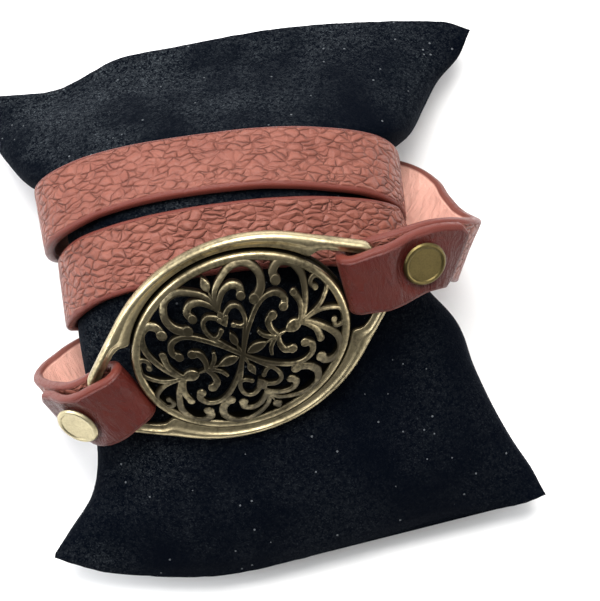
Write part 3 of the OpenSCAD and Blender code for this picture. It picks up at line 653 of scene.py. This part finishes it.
class Finish(Nodes):
    """Material with a Principled shader, whose plain values are given by socket name"""

    def __init__(self, name, **plain):
        self.material = bpy.data.materials.new(name)
        self.material.use_nodes = True
        super().__init__(self.material.node_tree)
        self.shader = self.tree.nodes["Principled BSDF"]
        for key, value in plain.items():
            self.shader.inputs[key.replace("_", " ")].default_value = value

    def drive(self, socket, value):
        self.tree.links.new(value, self.shader.inputs[socket])

    def bump(self, height, strength, distance):
        made = self.add("Bump", {"Height": height, "Strength": strength, "Distance": distance})
        self.drive("Normal", made.outputs[0])


class Group(Nodes):
    """New shader node group with named sockets"""

    def __init__(self, name, inputs, outputs):
        group = bpy.data.node_groups.new(name, "ShaderNodeTree")
        super().__init__(group)
        for label, kind, default in inputs:
            socket = group.interface.new_socket(label, in_out="INPUT", socket_type=kind)
            if default is not None:
                socket.default_value = default
        for label in outputs:
            group.interface.new_socket(label, in_out="OUTPUT", socket_type="NodeSocketFloat")
        self.given = group.nodes.new("NodeGroupInput").outputs
        self.result = group.nodes.new("NodeGroupOutput").inputs

    def give(self, **values):
        for label, value in values.items():
            self.tree.links.new(value, self.result[label])


def grain_group():
    """Pebbles with furrows between them, in a plane where a unit is one pebble"""
    if "pebble_grain" in bpy.data.node_groups:
        return bpy.data.node_groups["pebble_grain"]
    n = Group(
        "pebble_grain",
        [("Vector", "NodeSocketVector", None), ("Furrow", "NodeSocketFloat", 0.16)],
        ["Height", "Furrows", "Tone"])
    drift = n.noise(n.given["Vector"], 0.55, 1.0, output="Color")
    pulled = n.add("VectorMath", {0: drift, 1: (1.4, 1.1, 0.0), 2: n.given["Vector"]},
                   operation="MULTIPLY_ADD").outputs[0]

    def edges(turn, size):
        slanted = n.mapped(pulled, size, (0, 0, math.radians(turn)))
        return n.cells(slanted, 1.0, 0.85, "DISTANCE_TO_EDGE")["Distance"]

    def furrows(distance, width):
        return n.minus(1.0, n.spread(distance, 0.0, width))

    # Long creases slant one way; shorter and fainter ones cross them and leave lozenges
    along = edges(30, (0.62, 1.3, 1.0))
    across = edges(-38, (0.6, 1.0, 1.0))
    faint = n.spread(n.noise(pulled, 0.4, 1.0), 0.4, 0.62)
    strong = n.spread(n.noise(pulled, 0.7, 1.0), 0.38, 0.62, 0.3, 1.0)
    crossing = n.times(furrows(across, 0.1), faint)
    furrow = n.times(n.most(furrows(along, n.given["Furrow"]), crossing), strong)
    dome = n.maths("SQRT", n.spread(along, 0.0, 0.5))
    low = n.times(furrows(across, 0.35), n.times(faint, 0.4))
    height = n.times(n.minus(dome, low), n.times_plus(strong, 0.6, 0.4))
    tone = n.cells(pulled, 0.8, 0.95, "F1")["Color"]
    n.give(Height=n.times_plus(furrow, -0.3, height), Furrows=furrow, Tone=tone)
    return n.tree


def blotch_group():
    """Uneven tone of worn surfaces, from 0 to 1, broad and fine"""
    if "uneven_tone" in bpy.data.node_groups:
        return bpy.data.node_groups["uneven_tone"]
    n = Group(
        "uneven_tone",
        [("Vector", "NodeSocketVector", None), ("Broad", "NodeSocketFloat", 60.0),
         ("Fine", "NodeSocketFloat", 900.0)],
        ["Patches", "Specks"])
    vector = n.given["Vector"]
    n.give(Patches=n.spread(n.noise(vector, n.given["Broad"], 3.0, 0.6), 0.3, 0.7),
           Specks=n.spread(n.noise(vector, n.given["Fine"], 2.0), 0.35, 0.75))
    return n.tree


def velvet(pillow):
    """Black pile, brushed lighter in patches and painted with a lighter sheen towards one corner, with lint
    on it
    """
    n = Finish(
        "black_velvet", Roughness=0.95, Sheen_Weight=0.025, Sheen_Roughness=0.38,
        Sheen_Tint=(0.42, 0.54, 0.78, 1), Specular_IOR_Level=0.03)
    where = n.object_place()
    tone = n.use(blotch_group(), Vector=where, Broad=55.0, Fine=1100.0)
    pile = n.spread(n.noise(where, 2600.0, 4.0, 0.75), 0.5, 0.74)
    brushed = n.times(n.times_plus(tone["Specks"], 0.22, pile), n.times_plus(tone["Patches"], 0.92, 0.08))
    # Painted sheen: the brushed pile is painted lighter towards the head's left corner, where the light
    # catches it
    sides = n.axes(where)
    corner = n.spread(n.minus(sides[1], sides[0]), -0.05, 0.09, 0.2, 0.95)
    # Brushed patches take the lighter colour, strengthened by the painted sheen towards the corner
    colour = n.blend(n.times(brushed, corner), pillow.cloth, pillow.brushed_pile_and_sheen)
    # Lint: a few bright specks that lie on the pile
    lint = n.add("TexVoronoi", {"Vector": where, "Scale": 420.0}, feature="F1").outputs
    speck = n.times(n.maths("LESS_THAN", lint["Distance"], 0.1),
                    n.maths("GREATER_THAN", n.parts(lint["Color"])[0], 0.6))
    n.drive("Base Color", n.blend(n.times(speck, 0.3), colour, (0.26, 0.28, 0.30)))
    n.bump(n.noise(where, 2600.0), 0.35, 0.0004)
    return n.material


def strap_leather(strap):
    """Pebbled outer face, smooth edges and inner face"""
    n = Finish("pebbled_leather", Specular_IOR_Level=0.2, Coat_Weight=0.02, Coat_Roughness=0.5)
    pebbles = UV_UNIT / strap.grain_size
    vector = n.mapped(n.add("UVMap", uv_map="UVMap").outputs[0], (pebbles, pebbles, 1.0))
    edge, inner, tab = n.painted("zones")
    grain = n.use(grain_group(), Vector=vector, Furrow=0.09)
    tone = n.use(blotch_group(), Vector=vector, Broad=0.35, Fine=7.0)
    outside = n.blend(n.times(tone["Patches"], 0.3), strap.outside, strap.edge)
    outside = n.blend(n.times(n.parts(grain["Tone"])[0], 0.16), outside, strap.furrow)
    # The furrows between the pebbles take the furrow colour: grain tone, and painted shade in the creases
    outside = n.blend(n.times(grain["Furrows"], 0.5), outside, strap.furrow)
    # Inner face: smooth flesh side with cross wrinkles, paler than the grain side and painted paler still
    # on the loops as painted light; on the tabs it is dressed smoother and painted dark as painted shade
    wrinkles = n.noise(n.mapped(vector, (1.3, 0.45, 1.0)), 1.0, 4.0, 0.62, 0.8)
    # Painted shade: the wrinkle troughs of the inner face are darkened towards the furrow colour
    inside = n.blend(n.spread(wrinkles, 0.3, 0.65, 0.88, 1.0), strap.furrow, strap.inside)
    # Painted shade: the tabs' inner face takes the darker tab colour, with uneven patches
    shaded_tab_tone = n.blend(n.times(tone["Patches"], 0.35), strap.tab, strap.furrow)
    face = n.blend(inner, outside, n.blend(tab, inside, shaded_tab_tone))
    # The rounded edges take the edge colour, which carries painted shade
    n.drive("Base Color", n.blend(n.times(edge, 0.9), face, strap.edge))
    smooth_side = n.most(n.times(inner, tab), edge)
    rough = n.times_plus(grain["Furrows"], 0.25, 0.43)
    n.drive("Roughness", n.minus(rough, n.times(smooth_side, 0.08)))
    pebbled = n.times(grain["Height"], n.minus(1.0, inner))
    folded = n.times(wrinkles, n.times(inner, n.times_plus(tab, 0.4, 1.0)))
    height = n.times(n.maths("ADD", pebbled, folded), n.minus(1.0, edge))
    n.bump(n.times_plus(tone["Specks"], 0.06, height), 1.0, 0.00055)
    return n.material


def antique_brass(ornament):
    """Brass that is rubbed bright where it stands out and blackened in its recesses"""
    n = Finish("antique_brass", Metallic=1.0)
    where = n.object_place()
    tone = n.use(blotch_group(), Vector=where, Broad=140.0, Fine=1300.0)
    height, rubbed, _ = n.painted("relief")
    worn = n.times_plus(tone["Patches"], 0.45, n.times(rubbed, 0.6))
    worn = n.minus(worn, n.times(tone["Specks"], 0.22))
    metal = n.blend(n.spread(worn, 0.05, 0.9), ornament.dull, ornament.bright)
    n.drive("Base Color", n.blend(n.spread(height, 0.15, 0.6), ornament.recess, metal))
    rough = n.times_plus(tone["Patches"], -0.1, 0.42)
    n.drive("Roughness", n.times_plus(n.spread(height, 0.1, 0.6, 1.0, 0.0), 0.35, rough))
    n.bump(n.noise(where, 1500.0, 3.0), 0.22, 0.0002)
    return n.material


def cap_brass(name, face):
    """Brass of a flat cap: an even patina with fine scratches, on a given colour that carries the cap's
    painted light
    """
    n = Finish(name, Metallic=1.0)
    where = n.object_place()
    tone = n.use(blotch_group(), Vector=where, Broad=260.0, Fine=2400.0)
    darker = tuple(c * 0.45 for c in face)
    amount = n.times_plus(tone["Specks"], 0.3, n.times(tone["Patches"], 0.3))
    n.drive("Base Color", n.blend(amount, face, darker))
    scratch = n.noise(n.mapped(where, (3.0, 0.2, 1.0), (0.3, 0.2, 0.9)), 1400.0, 3.0)
    n.drive("Roughness", n.times_plus(scratch, 0.2, 0.3))
    n.bump(scratch, 0.12, 0.0001)
    return n.material


def pale_floor():
    n = Finish("pale_floor", Roughness=0.9, Specular_IOR_Level=0.1)
    n.drive("Base Color", n.blend(n.noise(n.object_place(), 6.0), (0.93, 0.93, 0.93), (0.95, 0.95, 0.95)))
    return n.material


# ---- Pieces ----

def pillow_piece(shape):
    """Velvet pillow; its creases and dents are moved into the skin, because the strap holds it still"""
    p = shape.pillow
    columns, rows = 190, 168
    # Distance from the squeezed waist at which the creases start, and over which they set in
    bare_from, bare_over = 17 * MM, 12 * MM
    dent_depth, dent_limit = 1.1 * MM, 0.2 * MM
    pucker_depth, pucker_from = 0.28 * MM, 0.94
    last = 0.985
    bm = bmesh.new()

    def place(u, v):
        along = math.sin(math.pi * (u - 0.5))
        degrees = 360 * (v % 1.0)
        point = shape.skin(along, degrees)
        out = shape.skin_out(max(min(along, last), -last), degrees)
        away = abs(along - shape.CREST) * p.reach / 2
        # Creases run from the squeezed waist towards the seams
        bare = ease((away - bare_from) / bare_over)
        lines = waves(point.x * 120, point.y * 22, point.z * 60, 1)
        crease = -p.creases * (0.35 + max(lines, 0) * 1.6) * bare * (1.2 - abs(along) * 0.6)
        dents = dent_depth * min(waves(point.x * 26, point.y * 26, point.z * 30, 2), 0.3) * bare
        # The end seams pucker a little
        near_seam = ease((abs(along) - pucker_from) / (1 - pucker_from))
        pucker = pucker_depth * waves(point.x * 420, 0, 0, 3) * near_seam
        low = math.sin(math.radians(degrees)) < 0
        keep = 0.3 if low else 1.0
        moved = point + out * (crease + min(dents, dent_limit)) * keep * (1 - near_seam) + out * pucker
        moved.z = max(moved.z, 0.0)
        return moved

    laid_grid(bm, columns, rows, place)
    close_shell(bm)
    piece = finish_piece("velvet_pillow", bm, velvet(p), "root", ["display_pillow"])
    return piece


def strap_profile(width, thickness, radius, face_steps=25, arc_steps=5):
    """Points round the strap's section: across, out, and whether on the edge and on the inner face"""
    x, y = width / 2 - radius, thickness / 2 - radius
    points = []
    # Corners: side, outer or inner, degrees at the arc's start, inner face at the arc's start and end
    corners = ((-1, 1, 90, 0, 0), (-1, -1, 180, 0, 1), (1, -1, 270, 1, 0), (1, 1, 0, 0, 0))
    for right, up, start, inner, inner_end in corners:
        if right != up:
            # A flat face leads up to this corner
            for k in range(face_steps):
                across = mix(-right * x, right * x, k / face_steps)
                points.append((across, up * thickness / 2, 0, inner))
        for k in range(arc_steps):
            a = math.radians(start + 90 * k / arc_steps)
            points.append((right * x + radius * math.cos(a), up * y + radius * math.sin(a),
                           1, mix(inner, inner_end, k / arc_steps)))
    return points


def resampled(rings, spacing):
    """Frames at even spacing on a smooth curve through the middles of a list of frames"""
    least = 1e-6
    last = len(rings) - 1
    at = [0.0]
    for a, b in zip(rings, rings[1:]):
        at.append(at[-1] + max((b[0] - a[0]).length, least))
    count = round(at[-1] / spacing)
    result = []
    i = 0
    for k in range(count + 1):
        reach = at[-1] * k / count
        while i < last - 1 and reach > at[i + 1]:
            i += 1
        a, b = rings[i], rings[i + 1]
        before, after = max(i - 1, 0), min(i + 2, last)
        span = at[i + 1] - at[i]
        f = (reach - at[i]) / span
        pull_a = (b[0] - rings[before][0]) * (span / (at[i + 1] - at[before]))
        pull_b = (rings[after][0] - a[0]) * (span / (at[after] - at[i]))
        mid = bend(a[0], a[0] + pull_a / 3, b[0] - pull_b / 3, b[0], f)
        across = mix(a[1], b[1], f).normalized()
        out = mix(a[2], b[2], f).normalized()
        result.append((mid, across, out, mix(a[3], b[3], f), reach))
    return result, at[-1]


def strap_piece(shape):
    """Leather strap, swept along its frames, with a seat pressed under each cap"""
    s = shape.strap
    ring_spacing = 0.62 * MM
    tab_length, tab_fade = 26 * MM, 6 * MM
    # Reach of a cap's dent past its rim, length over which it sets in, and its depths
    dent_reach, dent_slope, seat_slope = 2.4 * MM, 1.6 * MM, 0.9 * MM
    dent_depth, seat_depth = 0.12 * MM, 0.25 * MM
    rings, total = resampled(shape.strap_rings(), ring_spacing)
    profile = strap_profile(s.width, s.thickness, s.round_edge)
    columns, rows = len(rings) - 1, len(profile)
    caps = [shape.cap_place(side) for side in (-1, 1)]
    press = shape.fasteners.diameter / 2
    bm = bmesh.new()
    bm.loops.layers.uv.new("UVMap")
    zones = bm.verts.layers.float_color.new("zones")

    def swell_of(x, y, inner, from_end):
        """Swell of the leather in millimetres"""
        if not inner:
            return 0.07 * waves(x / 2.1, y / 1.5, 0, 4) + 0.08 * waves(x / 7, y / 6, 0, 5)
        if from_end > tab_length:
            return 0.10 * waves(x / 2.6, y / 6, 0, 6)
        # Wrinkles gather round the cap on a tab's smooth face
        return 0.16 * waves(x / 2.2, y / 3.5 + x / 9, 0, 7) * ease(from_end / (3 * MM))

    def pressed(point):
        """Point of a tab, pressed down where a cap sits on it"""
        for base, _, up, under in caps:
            offset = point - base
            height = offset.dot(up)
            aside = (offset - up * height).length
            on_top = height > max(under / 2, under - 1.1 * s.thickness)
            if on_top and aside < press + dent_reach:
                seat = ease((press + seat_slope - aside) / seat_slope)
                level = under - dent_depth - seat_depth * seat
                near = ease((press + dent_reach - aside) / dent_slope)
                point = point + up * min(level - height, 0) * near
        return point

    def place(u, v):
        mid, across, out, inset, reach = rings[round(u * columns)]
        w, h, edge, inner = profile[round(v * rows) % rows]
        squeeze = (s.width / 2 - inset) / (s.width / 2)
        from_end = min(reach, total - reach)
        x = reach / MM
        swell = swell_of(x, w / MM, inner, from_end) * MM * (1 - 0.7 * edge)
        sway = 0.10 * MM * waves(x / 9, 0, math.copysign(3, w), 8)
        point = mid + across * (w * squeeze + math.copysign(sway, w))
        point += out * (h + swell * math.copysign(1, h))
        return pressed(point) if from_end < tab_length else point

    at = laid_grid(bm, columns, rows, place)
    around = sum((Vector(profile[k][:2]) - Vector(profile[k - 1][:2])).length for k in range(rows))
    map_grid(bm, at, total, around)
    for vert, (u, v) in at.items():
        reach = rings[round(u * columns)][4]
        _, _, edge, inner = profile[round(v * rows) % rows]
        from_end = min(reach, total - reach)
        vert[zones] = (edge, inner, 1 - ease((from_end - tab_length) / tab_fade), 1)
    close_shell(bm)
    return finish_piece("leather_strap", bm, strap_leather(s), "root", ["strap"])


class Casting:
    """Builds the ornament's parts in its own directions and stands them in place"""

    def __init__(self, shape):
        self.shape = shape
        self.o = shape.ornament
        self.bm = bmesh.new()
        self.relief = self.bm.verts.layers.float_color.new("relief")
        o = self.o
        self.r_along = ((o.plate_length / 2) ** 2 + o.dome ** 2) / (2 * o.dome)
        self.r_across = ((o.plate_width / 2) ** 2 + o.dome ** 2) / (2 * o.dome)
        self.chart = (o.plate_length / 200, SCROLLS_WIDTH * o.plate_width / 200)

    def dome(self, x, y):
        """Height of the dome's outer face"""
        r = self.r_across - self.r_along + math.sqrt(max(self.r_along ** 2 - x * x, 0))
        return self.o.foot + self.o.dome - self.r_across + math.sqrt(max(r * r - y * y, 0))

    def loop(self, outline, section, rubbed):
        """Sweeps a section round a closed outline of (x, y, direction, width) points"""
        n, m = len(outline), len(section)

        def place(u, v):
            x, y, a, width = outline[round(u * n) % n]
            inward, w, _ = section[round(v * m) % m]
            return Vector((x - math.cos(a) * inward * width, y - math.sin(a) * inward * width, w))

        at = laid_grid(self.bm, n, m, place)
        for vert, (_, v) in at.items():
            vert[self.relief] = (section[round(v * m) % m][2], rubbed, 0, 1)

    def stroke(self, points, widths):
        """Flat-topped scroll on the dome along chart points given in metres"""
        n, m = len(points) - 1, len(SCROLL_SECTION)

        def place(u, v):
            i = round(u * n)
            x, y = points[i]
            ax, ay = points[max(i - 1, 0)]
            bx, by = points[min(i + 1, n)]
            span = math.hypot(bx - ax, by - ay) or 1
            side, rise, _ = SCROLL_SECTION[round(v * m) % m]
            x -= (by - ay) / span * side * widths[i]
            y += (bx - ax) / span * side * widths[i]
            return Vector((x, y, self.dome(x, y) + rise * self.o.wall))

        at = laid_grid(self.bm, n, m, place)
        for vert, (_, v) in at.items():
            vert[self.relief] = (SCROLL_SECTION[round(v * m) % m][2], 0.0, 0, 1)

    def ball(self, x, y, radius):
        """Flat-topped round end of a scroll"""
        made = bmesh.ops.create_uvsphere(self.bm, u_segments=20, v_segments=14, radius=1.0)["verts"]
        for vert in made:
            side = vert.co.z
            px, py = x + vert.co.x * radius, y + vert.co.y * radius
            if side > 0:
                # Flat above half its height, and a little hollow
                rise = min(side / 0.5, 1) * (0.22 - 0.03 * max(side - 0.5, 0))
            else:
                rise = side * 0.9
            height = 0.05 + 0.95 * ease((side + 0.3) / 0.5) - 0.2 * ease((side - 0.6) / 0.3)
            vert[self.relief] = (height, 0.1, 0, 1)
            vert.co = Vector((px, py, self.dome(px, py) + rise * self.o.wall))

    def close(self):
        close_shell(self.bm, gap=1e-7)


def scroll_course(casting, course, steps=7):
    """Smooth curve through the chart points of a course, in metres"""
    cx, cy = casting.chart
    pts = [Vector((x * cx, y * cy)) for x, y in course]
    result = []
    for i in range(len(pts) - 1):
        before, after = pts[max(i - 1, 0)], pts[min(i + 2, len(pts) - 1)]
        a, b = pts[i], pts[i + 1]
        for k in range(steps):
            result.append(bend(a, a + (b - before) / 6, b - (after - a) / 6, b, k / steps))
    result.append(pts[-1])
    return result


def plate_gap(o, x, y, a):
    """From a point towards the plate's edge, in the direction opposite to a"""
    wx, wy = 2 / o.plate_length, 2 / o.plate_width
    q, d = Vector((x * wx, y * wy)), Vector((-math.cos(a) * wx, -math.sin(a) * wy))
    b = q.dot(d)
    root = b * b - d.dot(d) * (q.dot(q) - 1)
    return o.plate_length if root < 0 else (-b - math.sqrt(root)) / d.dot(d)


def wide_bar(o, x, y, a):
    """Width of a long bar that reaches to the plate, but for the slit"""
    return min(plate_gap(o, x, y, a) - o.bar_slit, BAR_SWELL * o.bar_width)


def frame_outline(shape, per_quarter=(22, 9)):
    """Outline of the frame as (x, y, direction, width): two long arcs, joined by corners to end bars"""
    o = shape.ornament
    r = ARC_SHARE * o.frame_width
    corner = o.bar_width + CORNER_ROOM
    cx, cy = o.frame_length / 2 - corner, o.end_bar / 2 - corner
    ay = o.frame_width / 2 - r
    dx, dy = cx, cy - ay
    join = math.atan2(dy, dx) + math.acos((r - corner) / math.hypot(dx, dy))
    quarter = []
    arcs, corners = per_quarter
    for k in range(arcs + 1):
        a = mix(math.pi / 2, join, k / arcs)
        x, y = r * math.cos(a), ay + r * math.sin(a)
        quarter.append((x, y, a, wide_bar(o, x, y, a)))
    x, y = quarter[-1][:2]
    ex, ey = cx + corner * math.cos(join), cy + corner * math.sin(join)
    for share_of_part, step in NOTCH:
        px, py = mix(x, ex, share_of_part), mix(y, ey, share_of_part)
        quarter.append((px, py, join, mix(o.bar_width, wide_bar(o, px, py, join), step)))
    quarter.append((ex, ey, join, o.bar_width))
    for k in range(1, corners + 1):
        a = mix(join, 0, k / corners)
        quarter.append((cx + corner * math.cos(a), cy + corner * math.sin(a), a, o.bar_width))
    full = list(quarter)
    full += [(x, -y, -a, w) for x, y, a, w in reversed(quarter)][:-1]
    full += [(-x, -y, a + math.pi, w) for x, y, a, w in quarter]
    full += [(-x, y, math.pi - a, w) for x, y, a, w in reversed(quarter)][:-1]
    return full


def oval_outline(shape, steps=120):
    """Outline of the plate as (x, y, direction, width)"""
    o = shape.ornament
    a, b = o.plate_length / 2, o.plate_width / 2
    points = []
    for k in range(steps):
        t = 2 * math.pi * k / steps
        direction = math.atan2(math.sin(t) * a, math.cos(t) * b)
        points.append((a * math.cos(t), b * math.sin(t), direction, 1.0))
    return points


def add_frame(cast):
    """Bars, rim and flange of the ornament"""
    shape, o = cast.shape, cast.o
    bar = [(inwards, o.bar_height * height, relief) for inwards, height, relief in BAR_SECTION]
    cast.loop(frame_outline(shape), bar, 0.85)
    top, low = o.rim_height, -o.bar_height / 2
    rim = [(inwards * o.rim_width, top - depth * MM, relief) for inwards, depth, relief in RIM_SECTION]
    cast.loop(oval_outline(shape), [(0, low, 0.0), *rim, (o.rim_width, low, 0.0)], 0.7)
    # The flange fills the slit between plate and bars; it stops where the folded leather passes
    gap, upper = o.bar_slit + o.bar_width / 2, low + 1 * MM
    inner = o.rim_width / 2
    flange = ((-gap, low, 0.0), (-gap, upper, 0.15), (inner, upper, 0.05), (inner, low, 0.0))
    room = shape.strap.width / 2 + 2.75 * MM
    outline = [(x, y, a, 1.0 if abs(y) > room else 0.2) for x, y, a, _ in oval_outline(shape)]
    cast.loop(outline, flange, 0.0)


def add_scrolls(cast):
    """Scrolls of the four quarters, each with its round end"""
    unit, spare = cast.chart[1] / 2, 0.06 * MM
    for start, middle, end, ball, chart_course in SCROLLS:
        course = scroll_course(cast, chart_course)
        n = len(course) - 1
        widths = []
        for i in range(n + 1):
            f = 2 * i / n
            value = mix(start, middle, f) if f < 1 else mix(middle, end, f - 1)
            widths.append(value * unit + spare)
        for sx in (1, -1):
            for sy in (1, -1):
                points = [(p.x * sx, p.y * sy) for p in course]
                cast.stroke(points, widths)
                cast.ball(*points[-1], ball * unit + spare)


def add_leaves(cast, leaf_steps=14):
    """Pointed leaves on the two axes of the plate"""
    thinnest = 0.05 * MM
    for rows, axis in ((LONG_LEAVES, 0), (SHORT_LEAVES, 1)):
        scale = cast.chart[axis]
        for start, end, width in rows:
            for sign in (1, -1):
                points, widths = [], []
                for k in range(leaf_steps + 1):
                    f = k / leaf_steps
                    reach = sign * mix(start, end, f) * scale
                    points.append((reach, 0) if axis == 0 else (0, reach))
                    belly = math.sin(math.pi * f ** 0.85) ** 0.9 if 0 < f < 1 else 0
                    widths.append(max(belly * width * cast.chart[1] / 2, thinnest))
                cast.stroke(points, widths)


def stood(x, y, z, place):
    """Matrix with the given directions and place"""
    return Matrix((
        (x[0], y[0], z[0], place[0]),
        (x[1], y[1], z[1], place[1]),
        (x[2], y[2], z[2], place[2]),
        (0, 0, 0, 1),
    ))


def ornament_piece(shape):
    """Cast ornament: frame, rim and pierced dome"""
    cast = Casting(shape)
    add_frame(cast)
    add_scrolls(cast)
    add_leaves(cast)
    cast.close()
    place = stood(shape.along, shape.across, shape.out, cast.o.place)
    bmesh.ops.transform(cast.bm, matrix=place, verts=cast.bm.verts)
    brass = antique_brass(cast.o)
    return finish_piece("scrollwork_ornament", cast.bm, brass, "root", ["ornament"])


# ---- Operators ----

class BRACELET_OT_pillow(bpy.types.Operator):
    """Add the velvet display pillow"""

    bl_idname = "bracelet.pillow"
    bl_label = "Display pillow"

    def execute(self, context):
        pillow_piece(Winding(context.scene))
        return {"FINISHED"}


class BRACELET_OT_strap(bpy.types.Operator):
    """Add the leather strap that is wound round the pillow"""

    bl_idname = "bracelet.strap"
    bl_label = "Leather strap"

    def execute(self, context):
        strap_piece(Winding(context.scene))
        return {"FINISHED"}


class BRACELET_OT_ornament(bpy.types.Operator):
    """Add the cast ornament that joins the strap's ends"""

    bl_idname = "bracelet.ornament"
    bl_label = "Scrollwork ornament"

    def execute(self, context):
        ornament_piece(Winding(context.scene))
        return {"FINISHED"}


class BRACELET_OT_fasteners(bpy.types.Operator):
    """Give the two round caps their brass, the left one painted bright as a reflection and the right one
    painted dark as shade
    """

    bl_idname = "bracelet.fasteners"
    bl_label = "Round caps"

    def execute(self, context):
        sizes = context.scene.bracelet_fasteners
        # Painted light: the same brass is bright on the left cap, as a reflection, and dark on the right
        # cap, as shade
        for node, name, face in (("rivet_left", "left_cap_brass", sizes.left_cap_lit),
                                 ("snap_right", "right_cap_brass", sizes.right_cap_shaded)):
            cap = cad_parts[node]
            cap.data.materials.clear()
            cap.data.materials.append(cap_brass(name, face))
        return {"FINISHED"}


class BRACELET_OT_stage(bpy.types.Operator):
    """Add the floor, the lights and the camera"""

    bl_idname = "bracelet.stage"
    bl_label = "Stage"

    # Camera: direction and distance of its target, its focal length and its sensor
    AZIMUTH, ELEVATION, DISTANCE = -8.0, 82.0, 0.6
    TARGET = (0.0081, -0.0049, 0.030)
    FOCAL, SENSOR = 171.0, 36.0
    # Half the floor's side
    FLOOR = 2.0
    # Strength of the room's dark and bright side
    ROOM = (0.16, 1.25)
    # Lights: place, size, power and colour
    LIGHTS = (
        ("key", (0.0, 0.36, 0.85), 0.55, 12.0, (1.0, 0.98, 0.95)),
        ("fill", (-0.70, 0.05, 0.45), 0.45, 5.0, (0.95, 0.97, 1.0)),
        ("glint", (0.55, -0.40, 0.30), 0.25, 1.6, (1.0, 0.97, 0.92)),
    )

    def execute(self, context):
        bm = bmesh.new()
        bmesh.ops.create_grid(bm, x_segments=4, y_segments=4, size=self.FLOOR)
        mesh = bpy.data.meshes.new("floor")
        bm.to_mesh(mesh)
        bm.free()
        floor = bpy.data.objects.new("floor", mesh)
        mesh.materials.append(pale_floor())
        context.scene.collection.objects.link(floor)
        for name, place, size, power, colour in self.LIGHTS:
            light = bpy.data.lights.new(name, "AREA")
            light.size, light.energy, light.color = size, power, colour
            lamp = bpy.data.objects.new(name, light)
            lamp.location = place
            lamp.rotation_euler = Vector(place).to_track_quat("Z", "Y").to_euler()
            context.scene.collection.objects.link(lamp)
        world = bpy.data.worlds.new("studio")
        world.use_nodes = True
        n = Nodes(world.node_tree)
        background = n.tree.nodes["Background"].inputs
        background["Color"].default_value = (0.95, 0.97, 1.0, 1)
        # The room is bright behind the pillow and overhead, and dark before it
        towards = n.axes(n.add("TexCoord").outputs["Generated"])
        level = n.times_plus(towards[1], 0.8, n.times(towards[2], 0.55))
        n.feed(background["Strength"], n.spread(level, -0.05, 0.85, *self.ROOM))
        context.scene.world = world
        context.scene.view_settings.view_transform = "Standard"
        camera = bpy.data.cameras.new("camera")
        camera.sensor_fit, camera.sensor_width, camera.lens = "HORIZONTAL", self.SENSOR, self.FOCAL
        camera.clip_start = 0.01
        a, e = math.radians(self.AZIMUTH), math.radians(self.ELEVATION)
        back = Vector((math.sin(a) * math.cos(e), -math.cos(a) * math.cos(e), math.sin(e)))
        right = Vector((math.cos(a), math.sin(a), 0))
        viewer = bpy.data.objects.new("camera", camera)
        spot = Vector(self.TARGET) + back * self.DISTANCE
        viewer.matrix_world = stood(right, back.cross(right), back, spot)
        context.scene.collection.objects.link(viewer)
        context.scene.camera = viewer
        return {"FINISHED"}


class BRACELET_PT_panel(bpy.types.Panel):
    """Sizes and pieces of the bracelet"""

    bl_idname = "BRACELET_PT_panel"
    bl_label = "Leather wrap bracelet"
    bl_space_type = "VIEW_3D"
    bl_region_type = "UI"
    bl_category = "Bracelet"

    def draw(self, context):
        for operator in OPERATORS:
            self.layout.operator(operator.bl_idname)
        for group in (context.scene.bracelet_pillow, context.scene.bracelet_strap,
                      context.scene.bracelet_ornament, context.scene.bracelet_fasteners):
            box = self.layout.box()
            for key in group.bl_rna.properties.keys():
                if key not in ("rna_type", "name"):
                    box.prop(group, key)


OPERATORS = (
    BRACELET_OT_pillow, BRACELET_OT_strap, BRACELET_OT_ornament, BRACELET_OT_fasteners, BRACELET_OT_stage)
GROUPS = {
    "bracelet_pillow": PillowSizes,
    "bracelet_strap": StrapSizes,
    "bracelet_ornament": OrnamentSizes,
    "bracelet_fasteners": FastenerSizes,
}
CLASSES = (*GROUPS.values(), *OPERATORS, BRACELET_PT_panel)


def register():
    for item in CLASSES:
        bpy.utils.register_class(item)
    for name, group in GROUPS.items():
        setattr(bpy.types.Scene, name, bpy.props.PointerProperty(type=group))


def unregister():
    for name in GROUPS:
        delattr(bpy.types.Scene, name)
    for item in reversed(CLASSES):
        bpy.utils.unregister_class(item)


def main():
    register()
    bpy.ops.bracelet.pillow()
    bpy.ops.bracelet.strap()
    bpy.ops.bracelet.ornament()
    bpy.ops.bracelet.fasteners()
    bpy.ops.bracelet.stage()


if __name__ == "__main__":
    main()
